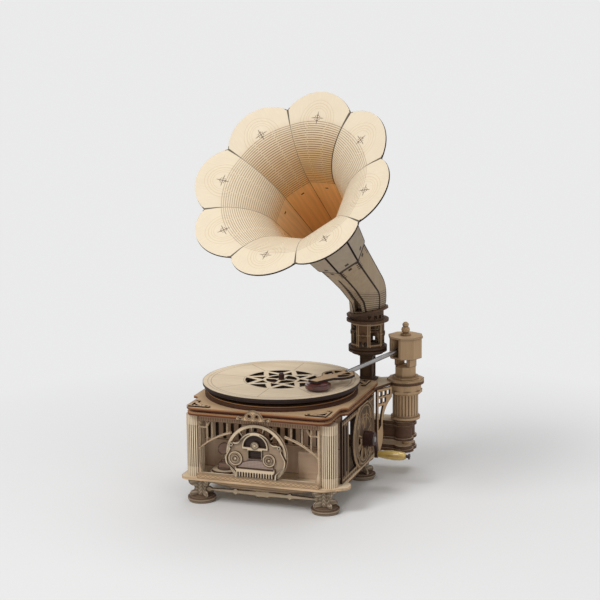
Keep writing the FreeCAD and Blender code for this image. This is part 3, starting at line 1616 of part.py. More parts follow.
for piece in pieces:
    piece.Shape.exportStep(f"parts/{piece.Label}.step")
print(f"{len(pieces)} pieces written")
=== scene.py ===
"""Looks of the wooden model gramophone: plywood, charred edges, horn petals, lights and camera."""

import bpy
import bmesh
import math

from mathutils import Matrix, Vector


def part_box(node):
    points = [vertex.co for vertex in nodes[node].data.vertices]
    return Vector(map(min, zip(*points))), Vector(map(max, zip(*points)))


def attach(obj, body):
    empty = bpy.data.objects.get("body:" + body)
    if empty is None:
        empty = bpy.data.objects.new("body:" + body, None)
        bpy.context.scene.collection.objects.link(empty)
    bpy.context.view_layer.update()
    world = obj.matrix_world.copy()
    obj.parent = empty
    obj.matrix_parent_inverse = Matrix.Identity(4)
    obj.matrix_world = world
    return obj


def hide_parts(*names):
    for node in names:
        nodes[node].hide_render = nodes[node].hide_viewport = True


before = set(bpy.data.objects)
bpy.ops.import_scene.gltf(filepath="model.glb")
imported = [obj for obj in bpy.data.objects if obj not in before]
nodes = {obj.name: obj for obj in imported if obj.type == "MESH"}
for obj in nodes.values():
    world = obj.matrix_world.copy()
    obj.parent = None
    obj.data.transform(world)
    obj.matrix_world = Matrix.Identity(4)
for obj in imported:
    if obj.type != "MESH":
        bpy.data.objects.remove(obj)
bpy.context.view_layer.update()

MM = 0.001


def heading(angle, rise=0.0):
    """Arrow one unit long that points this way."""
    return Vector((math.cos(rise) * math.cos(angle), math.cos(rise) * math.sin(angle), math.sin(rise)))


# Where things stand, in millimetres from the turntable's axis on the ground

TURNTABLE = Vector((-25.0, 12.7, 0.0))
COLUMN = Vector((58.9, 71.0, 0.0))
THIN_PLY = 1.5

SCREEN_SLOTS = 17
SCREEN_FIRST = -58.0
SCREEN_PITCH = 7.2
SCREEN_SLOT = 2.4
SCREEN_SILL = 51.0
SCREEN_HEAD = 75.5
SCREEN_SINK = 0.7  # share of the sheet's thickness

PANE_FRONT = 0.7
PANE_REAR = 0.1
PANE_CORNERS = ((-6.0, 46.8), (5.6, 46.8), (5.6, 54.0), (-6.0, 54.0))
ARCH_R = 10.4
ARCH_SILL = 57.0
ARCH_STEPS = 24

HORN_HEADING = math.radians(-101.08)
MOUTH_RISE = math.radians(40.4)
MOUTH_REACH = 139.62
MOUTH_Z = 287.2
BELL_LENGTH = 107.7
OUT = heading(HORN_HEADING, MOUTH_RISE)
DOWN = heading(HORN_HEADING, MOUTH_RISE - math.pi / 2)
ACROSS = OUT.cross(DOWN)
MOUTH = COLUMN + heading(HORN_HEADING) * MOUTH_REACH + Vector((0.0, 0.0, MOUTH_Z))
THROAT_MIDDLE = MOUTH - OUT * BELL_LENGTH


def in_frame(x, y, z):
    """A point given from the turntable's axis, in the frame, in metres."""
    return (Vector((x, y, z)) + TURNTABLE) * MM


# Colours, as they look in plain light; some stand in for shade or light, as noted beside them

CREAM = (0.80, 0.69, 0.52)
POST_PLY = (0.79, 0.655, 0.48)
PLATTER_PLY = (0.73, 0.61, 0.455)
PALE_PLY = (0.69, 0.56, 0.40)
WARM_PLY = (0.54, 0.375, 0.225)
TAN_PLY = (0.40, 0.29, 0.19)
SHADE_PLY = (0.27, 0.20, 0.145)
PANEL_PLY = (0.36, 0.265, 0.185)
DISPLAY_PLY = (0.80, 0.60, 0.44)
COVER_PLY = (0.62, 0.46, 0.33)
FRAME_PLY = (0.56, 0.42, 0.285)
# Petal backs: the ply darkened, partly as painted shade
BACK_SHADED_PLY = (0.39, 0.315, 0.23)
NECK_PLY = (0.405, 0.315, 0.215)
FOOT_PLY = (0.34, 0.27, 0.20)
TOY_PLY = (0.27, 0.175, 0.135)
# Painted shade on the display's backdrop: above the sill, and inside the sunk slots
SLAT_SHADE = (0.30, 0.15, 0.065)
SLOT_SHADE_BROWN = (0.20, 0.10, 0.048)
PANE_BROWN = (0.060, 0.032, 0.024)
# Dark brown of the drum, the turntable's base and the neck's rings; on the drum it is painted shade from the
# horn above
DRUM_BROWN = (0.125, 0.065, 0.029)
# Painted shade: dark copy of the wall ply for the right wall, also used under the platter
SHADED_BROWN = (0.095, 0.055, 0.028)
# Painted shade: the horn's column darkened as it stands under the horn
COLUMN_SHADED_BROWN = (0.075, 0.040, 0.020)
ROSETTE_BROWN = (0.085, 0.050, 0.027)
HUB_BROWN = (0.048, 0.020, 0.015)
FRINGE = (0.15, 0.062, 0.030)
RED_EDGE = (0.105, 0.038, 0.020)
AMBER_EDGE = (0.105, 0.036, 0.018)
BROWN_EDGE = (0.10, 0.052, 0.030)
RING_EDGE = (0.09, 0.05, 0.028)
# Burnt edge darkened further: painted shadow under the platter's rim
PLINTH_BURN_AND_SHADOW = (0.055, 0.022, 0.013)
CHAR = (0.022, 0.011, 0.008)
# Painted highlight: orange of the thin lines along the lit top corners of the deck and the turntable base
EDGE_HIGHLIGHT = (0.50, 0.24, 0.095)
KERF = (0.155, 0.062, 0.014)
FIELD = (0.54, 0.34, 0.15)
THROAT = (0.96, 0.55, 0.215)
# Paler throat colour for the lit petals: painted light
LIT_THROAT = (0.96, 0.68, 0.38)
STEEL = (0.40, 0.385, 0.385)
OXBLOOD = (0.120, 0.014, 0.009)
AMBER = (0.60, 0.43, 0.12)
DARK_AMBER = (0.34, 0.19, 0.035)
ROSE_CLOTH = (0.56, 0.41, 0.34)
PAPER = (0.825, 0.825, 0.83)
DAYLIGHT = (1.0, 0.99, 0.97)


def shade(colour, factor):
    """The colour made darker or lighter."""
    return tuple(min(1.0, part * factor) for part in colour)


# Node helpers

def add(tree, kind, **settings):
    node = tree.nodes.new(kind)
    for key, value in settings.items():
        setattr(node, key, value)
    return node


def feed(tree, socket, value):
    """Set a socket to a number, a vector or a colour, or link it to what a node gives."""
    if isinstance(value, Num):
        tree.links.new(value.socket, socket)
    elif isinstance(value, bpy.types.NodeSocket):
        tree.links.new(value, socket)
    elif socket.type == "RGBA":
        socket.default_value = (*value, 1.0)
    else:
        socket.default_value = value


class Num:
    """A number that a shader works out; every operator adds the node for it."""

    def __init__(self, tree, socket):
        self.tree = tree
        self.socket = socket

    def work(self, operation, other=None):
        node = add(self.tree, "ShaderNodeMath", operation=operation)
        feed(self.tree, node.inputs[0], self)
        if other is not None:
            feed(self.tree, node.inputs[1], other)
        return Num(self.tree, node.outputs[0])

    def __add__(self, other):
        return self.work("ADD", other)

    def __sub__(self, other):
        return self.work("SUBTRACT", other)

    def __mul__(self, other):
        return self.work("MULTIPLY", other)

    def __truediv__(self, other):
        return self.work("DIVIDE", other)

    def __lt__(self, other):
        return self.work("LESS_THAN", other)

    def __gt__(self, other):
        return self.work("GREATER_THAN", other)

    def __abs__(self):
        return self.work("ABSOLUTE")

    def remap(self, low, high, to_low=0.0, to_high=1.0):
        node = add(self.tree, "ShaderNodeMapRange", clamp=True)
        for key, value in zip(("Value", "From Min", "From Max", "To Min", "To Max"),
                              (self, low, high, to_low, to_high)):
            feed(self.tree, node.inputs[key], value)
        return Num(self.tree, node.outputs[0])

    def mix(self, low, high):
        """The colour that is low where the number is 0 and high where it is 1."""
        node = add(self.tree, "ShaderNodeMix", data_type="RGBA")
        for index, value in ((0, self), (6, low), (7, high)):
            feed(self.tree, node.inputs[index], value)
        return node.outputs[2]

    def near(self, middle, half):
        """1 on a line where the number is close to the middle, 0 away from it."""
        return abs(self - middle).remap(half * 0.7, half * 1.3, 1.0, 0.0)

    def between(self, low, high):
        """1 where the number lies between two limits."""
        return (self > low) * (self < high)

    def swing(self, pitch, first=0.5):
        """How far the nearest stripe is, in pitches; first is where one stripe lies, in pitches too."""
        return abs((self / pitch + (0.5 - first)).work("FRACT") - 0.5)

    def stripes(self, pitch, share, first=0.5):
        """1 on narrow stripes that repeat along the number."""
        return self.swing(pitch, first).remap(share * 0.35, share * 0.65, 1.0, 0.0)


def strongest(*masks):
    """The largest of several masks."""
    result = masks[0]
    for mask in masks[1:]:
        result = result.work("MAXIMUM", mask)
    return result


def lines(number, rows):
    """Lines where the number is near each (middle, half width)."""
    return strongest(*(number.near(middle, half) for middle, half in rows))


def distance(x, y):
    """How far this point lies from where both numbers are 0."""
    return (x * x + y * y).work("SQRT")


def angle_of(x, y):
    """In which direction it lies, in radians."""
    return y.work("ARCTAN2", x)


def separate(tree, vector):
    """The three numbers of a vector."""
    node = add(tree, "ShaderNodeSeparateXYZ")
    feed(tree, node.inputs[0], vector)
    return [Num(tree, output) for output in node.outputs]


def dot(tree, vector, axis):
    node = add(tree, "ShaderNodeVectorMath", operation="DOT_PRODUCT")
    feed(tree, node.inputs[0], vector)
    feed(tree, node.inputs[1], axis)
    return Num(tree, node.outputs["Value"])


class Place:
    """A point of a surface, in millimetres from the turntable's axis."""

    def __init__(self, tree, point):
        mapping = add(tree, "ShaderNodeMapping")
        feed(tree, mapping.inputs["Location"], -TURNTABLE)
        feed(tree, mapping.inputs["Scale"], (1 / MM, 1 / MM, 1 / MM))
        feed(tree, mapping.inputs["Vector"], point)
        self.tree = tree
        self.vector = mapping.outputs[0]
        self.x, self.y, self.z = separate(tree, self.vector)

    def along(self, axis, start):
        """How far the point lies from the start, along the axis."""
        return dot(self.tree, self.vector, axis) - axis.dot(start)

    def from_corner(self, middle, reach):
        """x and y from the nearest of four corners that stand this far from the middle."""
        return abs(self.x - middle[0]) - reach[0], abs(self.y - middle[1]) - reach[1]


class Look:
    """A material that is being put together."""

    def __init__(self, name):
        self.material = bpy.data.materials.new(name)
        self.material.use_nodes = True
        self.tree = self.material.node_tree
        self.shader = self.tree.nodes["Principled BSDF"]
        coordinates = add(self.tree, "ShaderNodeTexCoord")
        self.point = coordinates.outputs["Object"]
        self.normal = coordinates.outputs["Normal"]

    def give(self, colour, rough, specular=None):
        """Set the shader's colour, its roughness and, where it isn't the usual one, its specular level."""
        feed(self.tree, self.shader.inputs["Base Color"], colour)
        feed(self.tree, self.shader.inputs["Roughness"], rough)
        if specular is not None:
            feed(self.tree, self.shader.inputs["Specular IOR Level"], specular)

    def bump(self, height, strength, depth):
        node = add(self.tree, "ShaderNodeBump")
        for key, value in (("Strength", strength), ("Distance", depth), ("Height", height)):
            feed(self.tree, node.inputs[key], value)
        feed(self.tree, self.shader.inputs["Normal"], node.outputs[0])

    def noise(self, scale, detail, stretch=(1.0, 1.0, 1.0), vector=None):
        mapping = add(self.tree, "ShaderNodeMapping")
        feed(self.tree, mapping.inputs["Scale"], stretch)
        feed(self.tree, mapping.inputs["Vector"], vector or self.point)
        texture = add(self.tree, "ShaderNodeTexNoise")
        for key, value in (("Scale", scale), ("Detail", detail), ("Vector", mapping.outputs[0])):
            feed(self.tree, texture.inputs[key], value)
        return Num(self.tree, texture.outputs["Fac"])

    def openness(self, reach, inside=False):
        """1 on open surface, less beside what stands next to it; or, inside, beside the sheet's own edges."""
        node = add(self.tree, "ShaderNodeAmbientOcclusion", inside=inside, only_local=True, samples=8)
        feed(self.tree, node.inputs["Distance"], reach)
        return Num(self.tree, node.outputs["AO"])

    def uv(self, name):
        """The two numbers of a map, and the map itself."""
        node = add(self.tree, "ShaderNodeUVMap", uv_map=name)
        first, second, _ = separate(self.tree, node.outputs[0])
        return first, second, node.outputs[0]


# Engraved lines, and the painted highlight lines of the deck's edges, in millimetres from the turntable's
# axis. In LINES and RINGS each pair is the middle of a line and half its width. In HALF the two numbers say
# how far from its middle a line fades.

PLATTER_RINGS = ((62.5, 0.28), (65.5, 0.22), (33.6, 0.25))
PLATTER_RAYS = (33.6, 62.5)
PLATTER_RAY_HALF = (0.18, 0.36)

LEAF_PITCH = 4.6
LEAF_RISE = 1.15
LEAF_Z = 26.8
LEAF_HALF = (0.16, 0.38)
RAIL_LINES = ((28.5, 0.2), (25.0, 0.2))

APRON_PITCH = 2.3
PANE_PITCH = 1.6

CLOTH_X = (-16.4, 16.4)
CLOTH_Z = (38.0, 47.0)
CLOTH_PITCH = 1.3

ROSETTE_Y = 12.0
ROSETTE_Z = 52.0
HUB_Z = 48.2
HUB_LINES = ((19.3, 0.45), (22.2, 0.4))
RIM_LINES = ((29.8, 0.6), (26.2, 0.45))
HUB_RAYS = (9.5, 19.0)

SCREEN_LINE = (SCREEN_SILL - 1.0, 0.4)
SCREEN_SHADE = (SCREEN_SILL - 0.3, SCREEN_SILL + 0.3)

# Painted highlights along the top corners of the deck's layers and of the turntable base
DECK_HIGHLIGHT_LINES = ((88.0, 0.45), (83.5, 0.5), (92.2, 0.35))
DECK_TICKS = 2.4
DECK_TICKS_TOP = 81.2

FRINGE_Z = (75.9, 76.3)
FRINGE_TICKS = 2.2
FRINGE_LINE = (75.6, 0.35)

POST_MIDDLE = (1.5, -3.0)
POST_REACH = (61.0, 55.0)
FLUTES = 26

CREST_EYES = ((3.4, 85.0, (2.5, 3.4)), (11.6, 82.5, (1.5, 2.3)), (0.0, 81.0, (8.6,)))  # x, z and radii
CREST_LINE = 0.22

SCROLL_MIDDLE = (1.5, -6.0)
SCROLL_REACH = (62.5, 64.0)
SCROLL_LINES = ((4.0, 0.3), (8.0, 0.3), (12.0, 0.3), (15.5, 0.3))

NECK_CUTS = 2.1
NECK_CUTS_SLANT = 0.35
NECK_CUTS_TOP = (176.0, 179.0)
NECK_CUTS_START = (-4.0, -2.0)
NECK_SIDE = 18.0
COLLAR = (-4.3, -3.9)
COLLAR_SLOTS = (-8.4, -5.4)
COLLAR_SLOT_REACH = 1.8
COLLAR_LOCKS = (-16.0, -4.0)
COLLAR_LOCKS_START = 6.4
COLLAR_LOCK_PITCH = 3.0

DRUM_SIDE_LINES = ((0.225, 0.020), (0.31, 0.018))  # in quarter turns
DRUM_LINES = ((121.6, 0.5), (131.0, 0.4), (140.6, 0.5))

WALL_PITCH = 5.8
WALL_LINES = ((76.6, 0.5), (27.6, 0.5))

FOOT_MIDDLE = (1.5, -3.5)
FOOT_REACH = (57.5, 51.5)
FOOT_LINES = ((2.0, 0.25), (4.0, 0.25), (5.6, 0.3))
LEAVES_PITCH = 3.1
LEAVES_Z = (5.7, 20.0)
LEAVES_SWAY = 1.3
LEAVES_WAVES = 6.0


# Each carver gets the place on the surface, the colour there so far and the burnt colour

def carve_platter(place, surface, edge):
    """Two rings near the rim, one round the star, and eight lines that run out from the star."""
    radius = distance(place.x, place.y)
    turn = angle_of(place.x, place.y).swing(math.pi / 4, 0.0)
    spread = turn * radius * (math.pi / 4)
    rays = spread.remap(*PLATTER_RAY_HALF, 1.0, 0.0) * radius.between(*PLATTER_RAYS)
    return (strongest(lines(radius, PLATTER_RINGS), rays) * 0.55).mix(surface, edge)


def carve_rail(place, surface, edge):
    """A row of leaves between two lines."""
    away = place.x.swing(LEAF_PITCH) * 2.0
    leaf = away * away * -LEAF_RISE + LEAF_RISE
    outline = abs(abs(place.z - LEAF_Z) - leaf).remap(*LEAF_HALF, 1.0, 0.0)
    return (strongest(outline, lines(place.z, RAIL_LINES)) * 0.6).mix(surface, edge)


def carve_apron(place, surface, edge):
    """Level lines that make the board look like stacked mouldings."""
    return (place.z.stripes(APRON_PITCH, 0.30) * 0.6).mix(surface, edge)


def carve_radio(place, surface, edge):
    """Rose cloth with a fine grid on the strip over the comb."""
    strip = place.z.between(*CLOTH_Z) * place.x.between(*CLOTH_X)
    grid = strongest(place.x.stripes(CLOTH_PITCH, 0.30), place.z.stripes(CLOTH_PITCH, 0.30))
    return strip.mix(surface, (grid * 0.40).mix(ROSE_CLOTH, edge))


def carve_rosette(place, surface, edge):
    """Pale rings round the crank's hub and along the rim, and short rays between them."""
    dy = place.y - ROSETTE_Y
    dz = place.z - HUB_Z
    hub = distance(dy, dz)
    rim = distance(dy, place.z - ROSETTE_Z)
    rays = angle_of(dy, dz).stripes(math.pi / 4, 0.10) * hub.between(*HUB_RAYS)
    return (strongest(lines(hub, HUB_LINES), lines(rim, RIM_LINES), rays) * 0.6).mix(surface, WARM_PLY)


def carve_deck_edge(place, surface, edge):
    """A thin painted orange highlight along each top corner, and fine ticks on the lowest layer."""
    ticks = strongest(place.x.stripes(DECK_TICKS, 0.5), place.y.stripes(DECK_TICKS, 0.5))
    ticked = (ticks * (place.z < DECK_TICKS_TOP) * 0.7).mix(surface, TAN_PLY)
    # Painted highlight lines over the burnt edge
    return (lines(place.z, DECK_HIGHLIGHT_LINES) * 0.65).mix(ticked, EDGE_HIGHLIGHT)


def carve_screen(place, surface, edge):
    """Slots painted dark brown as the shade seen through them, painted shade on the board above the sill, and
    a seam where they end.
    """
    first = (SCREEN_FIRST + SCREEN_SLOT / 2) / SCREEN_PITCH
    slots = place.x.stripes(SCREEN_PITCH, SCREEN_SLOT / SCREEN_PITCH, first)
    slots = slots * place.z.between(SCREEN_SILL, SCREEN_HEAD)
    # Painted shade: the board above the sill darkened toward the slat shade colour
    shaded = (place.z.remap(*SCREEN_SHADE) * 0.35).mix(surface, SLAT_SHADE)
    return (strongest(slots, place.z.near(*SCREEN_LINE)) * 0.9).mix(shaded, SLOT_SHADE_BROWN)


def carve_pane(place, surface, edge):
    """Faint level lines."""
    return (place.z.stripes(PANE_PITCH, 0.35) * 0.5).mix(surface, SHADE_PLY)


def carve_fringe(place, surface, edge):
    """Reddish band with fine ticks under the deck, and a level line below it."""
    red = (place.x.stripes(FRINGE_TICKS, 0.45) * 0.55).mix(FRINGE, TAN_PLY)
    fringed = (place.z.remap(*FRINGE_Z) * 0.85).mix(surface, red)
    return (place.z.near(*FRINGE_LINE) * 0.8).mix(fringed, edge)


def carve_flutes(place, surface, edge):
    """Fine upright lines that carry the flutes over the plain bands at both ends of a corner post."""
    turn = angle_of(*place.from_corner(POST_MIDDLE, POST_REACH))
    return (turn.stripes(2 * math.pi / FLUTES, 0.42, 0.0) * 0.7).mix(surface, edge)


def carve_crest(place, surface, edge):
    """Rings round the two eyes and a curl on each wing."""
    rings = []
    for middle, height, radii in CREST_EYES:
        radius = distance(abs(place.x) - middle, place.z - height)
        rings += [radius.near(r, CREST_LINE) for r in radii]
    return (strongest(*rings) * 0.8).mix(surface, edge)


def carve_scroll(place, surface, edge):
    """Curls on the corner pieces of the deck."""
    radius = distance(*place.from_corner(SCROLL_MIDDLE, SCROLL_REACH))
    return (lines(radius, SCROLL_LINES) * 0.7).mix(surface, edge)


def carve_neck(place, surface, edge):
    """Fine cuts under the bend, slots under the collar, a dark collar line and small locks on the seams."""
    along, out, over = [place.along(way, THROAT_MIDDLE) for way in (OUT, DOWN, ACROSS)]
    slant = place.z + over * NECK_CUTS_SLANT
    cuts = slant.stripes(NECK_CUTS, 0.36) * slant.remap(*NECK_CUTS_TOP, 1.0, 0.0)
    cuts = cuts * over.remap(*NECK_CUTS_START)
    off = angle_of(out, over).swing(math.pi / 4, 0.0) * NECK_SIDE
    slots = along.between(*COLLAR_SLOTS) * (off < COLLAR_SLOT_REACH)
    locks = along.between(*COLLAR_LOCKS) * (off > COLLAR_LOCKS_START) * along.stripes(COLLAR_LOCK_PITCH, 0.45)
    fine = (cuts * 0.70).mix(surface, edge)
    return (strongest(slots, locks, along.remap(*COLLAR)) * 0.9).mix(fine, edge)


def carve_drum(place, surface, edge):
    """Upright mouldings beside the windows of the drum, and level ones at its ends and half way."""
    turn = angle_of(place.x - COLUMN.x, place.y - COLUMN.y).swing(math.pi / 2)
    return (strongest(lines(turn, DRUM_SIDE_LINES), lines(place.z, DRUM_LINES)) * 0.7).mix(surface, WARM_PLY)


def carve_panels(place, surface, edge):
    """Slender upright mouldings and two level ones on a wall."""
    uprights = place.y.stripes(WALL_PITCH, 0.15)
    return (strongest(uprights, lines(place.z, WALL_LINES)) * 0.65).mix(surface, WARM_PLY)


def carve_foot(place, surface, edge):
    """Level lines of stacked sheets, and pale leaves round the waist of a foot: the carving's pattern,
    painted as highlights of its scrolls.
    """
    turn = angle_of(*place.from_corner(FOOT_MIDDLE, FOOT_REACH))
    sway = (turn * LEAVES_WAVES).work("SINE") * LEAVES_SWAY
    leaves = (place.z + sway).stripes(LEAVES_PITCH, 0.30) * place.z.between(*LEAVES_Z)
    # Painted highlight: pale cream leaves stand in for the lit scrolls of the carving
    pale = (leaves * 0.55).mix(surface, CREAM)
    return (lines(place.z, FOOT_LINES) * 0.7).mix(pale, edge)


# Wood and metal

X, Y, Z = (1.0, 0.0, 0.0), (0.0, 1.0, 0.0), (0.0, 0.0, 1.0)
CORBEL = heading(math.radians(63.4 - 90.0))
GRAIN_ALONG_X = (0.10, 1.0, 1.0)
GRAIN_ALONG_Z = (1.0, 1.0, 0.10)
BROAD_GRAIN, FIBRE, PORES = 45.0, 420.0, 1600.0
DEEPEN = (0.86, 0.82, 0.76)
# How far the painted shade in hollows reaches
HOLLOW_SHADE_REACH = 3.0 * MM


def plywood(name, axis, face, edge, grain=GRAIN_ALONG_X, halo=0.85, width=0.9, hollow_shade=0.0, rough=0.62,
            side=None, carve=None, carve_side=None):
    """Laser-cut sheet: grained faces square to the axis, burnt edges, and a dark line beside each edge.

    edge is the colour of the lines, side that of the cut edges; carve and carve_side add engraved lines and,
    on the deck's edges, painted highlight lines.
    halo is how dark the line beside an edge is and width how wide, in millimetres; the hollow shade setting
    paints shade into hollows.
    """
    look = Look(name)
    side = side or edge
    place = Place(look.tree, look.point) if carve or carve_side else None
    broad = look.noise(BROAD_GRAIN, 2.0, grain)
    fibre = look.noise(FIBRE, 4.0, grain)
    pores = look.noise(PORES, 2.0, grain)
    deep = tuple(part * factor for part, factor in zip(face, DEEPEN))
    colour = (broad * 0.55 + fibre * 0.45).remap(0.34, 0.66).mix(deep, shade(face, 1.08))
    colour = pores.remap(0.60, 0.72, 0.0, 0.30).mix(colour, shade(face, 0.6))
    if carve:
        colour = carve(place, colour, edge)
    colour = look.openness(width * MM, inside=True).remap(0.55, 0.92, halo, 0.0).mix(colour, edge)
    if axis is not None:
        burnt = fibre.remap(0.3, 0.7).mix(shade(side, 0.75), shade(side, 1.35))
        if carve_side:
            burnt = carve_side(place, burnt, edge)
        colour = abs(dot(look.tree, look.normal, axis)).remap(0.62, 0.78).mix(burnt, colour)
    # Painted shade: hollows and gaps beside neighbouring surfaces darkened toward the edge colour
    if hollow_shade:
        colour = look.openness(HOLLOW_SHADE_REACH).remap(0.35, 0.95, hollow_shade, 0.0).mix(colour, edge)
    look.give(colour, fibre.remap(0.2, 0.8, rough - 0.08, rough + 0.1), 0.22)
    look.bump(fibre, 0.25, 0.2 * MM)
    return look.material


def metal(name, colour, rough):
    """Drawn rod: fine marks round it and a few duller patches."""
    look = Look(name)
    marks = look.noise(900.0, 2.0)
    patches = look.noise(90.0, 3.0)
    tone = patches.remap(0.35, 0.7).mix(shade(colour, 0.8), colour)
    look.give(tone, marks.remap(0.3, 0.7, rough, rough + 0.14))
    look.shader.inputs["Metallic"].default_value = 1.0
    look.bump(marks, 0.12, 0.1 * MM)
    return look.material


def varnished(name, colour, dark, rough):
    """Turned wood under a coat of varnish, darker in its grain."""
    look = Look(name)
    grain = look.noise(260.0, 4.0, GRAIN_ALONG_X)
    clouds = look.noise(60.0, 2.0)
    tone = grain.remap(0.35, 0.65).mix(dark, colour)
    tone = clouds.remap(0.4, 0.7, 0.0, 0.35).mix(tone, shade(colour, 1.25))
    look.give(tone, clouds.remap(0.3, 0.7, rough, rough + 0.12))
    look.shader.inputs["Coat Weight"].default_value = 0.6
    look.shader.inputs["Coat Roughness"].default_value = 0.18
    look.bump(grain, 0.15, 0.2 * MM)
    return look.material


screen_ply = plywood("ply_screen", Y, DISPLAY_PLY, CHAR, GRAIN_ALONG_Z, carve=carve_screen)
pane_ply = plywood("ply_pane", Y, PANE_BROWN, CHAR, carve=carve_pane, rough=0.4)

looks = (
    (screen_ply, ("backdrop",)),
    (plywood("ply_laid", Z, PALE_PLY, BROWN_EDGE),
     ("crown_gear", "platter_bush", "shelf", "stage", "tower_shelves")),
    (plywood("ply_laid_pale_edge", Z, PALE_PLY, BROWN_EDGE, side=WARM_PLY, halo=0.6), ("bottom_plate",)),
    (plywood("ply_scroll", Z, WARM_PLY, CHAR, carve=carve_scroll), ("corner_scrolls",)),
    (plywood("ply_headshell", Z, WARM_PLY, CHAR, side=CHAR, halo=1.0, width=1.8), ("headshell",)),
    (plywood("ply_deck", Z, WARM_PLY, RED_EDGE, side=AMBER_EDGE, carve_side=carve_deck_edge),
     ("deck_top_plate", "deck_lower")),
    (plywood("ply_deck_dark", Z, WARM_PLY, CHAR, side=RED_EDGE), ("deck_spacer",)),
    (plywood("ply_platter", Z, PLATTER_PLY, CHAR, side=CHAR, carve=carve_platter), ("platter_top",)),
    # Dark brown under the platter: partly the wood, partly painted shade seen through the star
    (plywood("ply_platter_dark", Z, SHADED_BROWN, CHAR), ("platter_under",)),
    # The base's sides carry painted shadow under the platter as well as their burn
    (plywood("ply_turntable_base", Z, DRUM_BROWN, CHAR, side=PLINTH_BURN_AND_SHADOW, carve_side=carve_deck_edge),
     ("turntable_base",)),
    (plywood("ply_rings", Z, DRUM_BROWN, CHAR, side=RING_EDGE), ("neck_rings",)),
    (plywood("ply_front", Y, PALE_PLY, BROWN_EDGE), ("front_arch", "comb", "radio_dials", "front_stretcher")),
    (plywood("ply_front_upright", Y, SHADE_PLY, CHAR, GRAIN_ALONG_Z), ("back_wall",)),
    (plywood("ply_panel", Y, PANEL_PLY, BROWN_EDGE), ("radio_panel",)),
    (plywood("ply_frame", Y, FRAME_PLY, BROWN_EDGE, side=PALE_PLY, carve=carve_fringe), ("front_frame",)),
    (plywood("ply_cover", Y, COVER_PLY, BROWN_EDGE, side=COVER_PLY, halo=0.35), ("mechanism_cover",)),
    (plywood("ply_crest", Y, WARM_PLY, CHAR, side=FRAME_PLY, halo=1.0, width=1.1, carve=carve_crest),
     ("front_crest",)),
    (plywood("ply_rail", Y, WARM_PLY, BROWN_EDGE, side=TAN_PLY, halo=0.5, carve=carve_rail), ("front_rail",)),
    (plywood("ply_radio", Y, PALE_PLY, CHAR, carve=carve_radio), ("radio_frame",)),
    (plywood("ply_apron", Y, TAN_PLY, BROWN_EDGE, carve=carve_apron), ("aprons",)),
    (plywood("ply_side", X, TAN_PLY, CHAR, GRAIN_ALONG_Z),
     ("gear_bearers", "crank_gear", "idler_gears", "rear_bracket")),
    # The right wall is a darker copy of the left wall's ply: painted shade on the side away from the key lamp
    (plywood("ply_wall", X, SHADED_BROWN, CHAR, GRAIN_ALONG_Z, carve=carve_panels), ("right_wall",)),
    (plywood("ply_wall_pale", X, TAN_PLY, CHAR, GRAIN_ALONG_Z, carve=carve_panels), ("left_wall",)),
    (plywood("ply_rosette", X, ROSETTE_BROWN, CHAR, GRAIN_ALONG_Z, side=WARM_PLY, carve=carve_rosette),
     ("side_rosette",)),
    (plywood("ply_corbel", CORBEL, WARM_PLY, BROWN_EDGE, GRAIN_ALONG_Z), ("side_corbel",)),
    (plywood("ply_post", None, POST_PLY, BROWN_EDGE, GRAIN_ALONG_Z, halo=0.0, hollow_shade=1.0, carve=carve_flutes),
     ("corner_columns",)),
    (plywood("ply_tower", None, WARM_PLY, BROWN_EDGE, GRAIN_ALONG_Z, halo=0.7, hollow_shade=0.8),
     ("tower_post", "tower_collar", "arm_head")),
    # Drum and column are darker copies of the ply: painted shade under the horn
    (plywood("ply_drum", None, DRUM_BROWN, CHAR, GRAIN_ALONG_Z, halo=0.8, hollow_shade=0.6, carve=carve_drum),
     ("horn_drum",)),
    (plywood("ply_column", None, COLUMN_SHADED_BROWN, CHAR, GRAIN_ALONG_Z, halo=0.6, hollow_shade=0.6), ("horn_column",)),
    (plywood("ply_neck", None, NECK_PLY, CHAR, GRAIN_ALONG_Z, halo=1.0, width=1.2, carve=carve_neck),
     ("neck_panels",)),
    (plywood("ply_foot", None, FOOT_PLY, BROWN_EDGE, hollow_shade=0.9, carve=carve_foot), ("feet",)),
    (plywood("ply_carved", None, TOY_PLY, CHAR, hollow_shade=0.8), ("toy_gramophone",)),
    (plywood("wood_hub", None, HUB_BROWN, CHAR, rough=0.4), ("crank_arm", "platter_shaft")),
    (metal("steel_tube", STEEL, 0.22), ("arm_tube", "crank_shaft", "idler_shaft")),
    (varnished("wood_handle", AMBER, DARK_AMBER, 0.25), ("crank_handle",)),
    (varnished("wood_soundbox", OXBLOOD, CHAR, 0.38), ("soundbox",)),
)

for material, names in looks:
    for name in names:
        mesh = nodes[name].data
        mesh.materials.clear()
        mesh.materials.append(material)


# Pieces that are drawn here

def new_object(name, mesh, *materials):
    """Turn a finished mesh into an object in the scene."""
    data = bpy.data.meshes.new(name)
    mesh.to_mesh(data)
    mesh.free()
    for material in materials:
        data.materials.append(material)
    thing = bpy.data.objects.new(name, data)
    bpy.context.collection.objects.link(thing)
    return thing


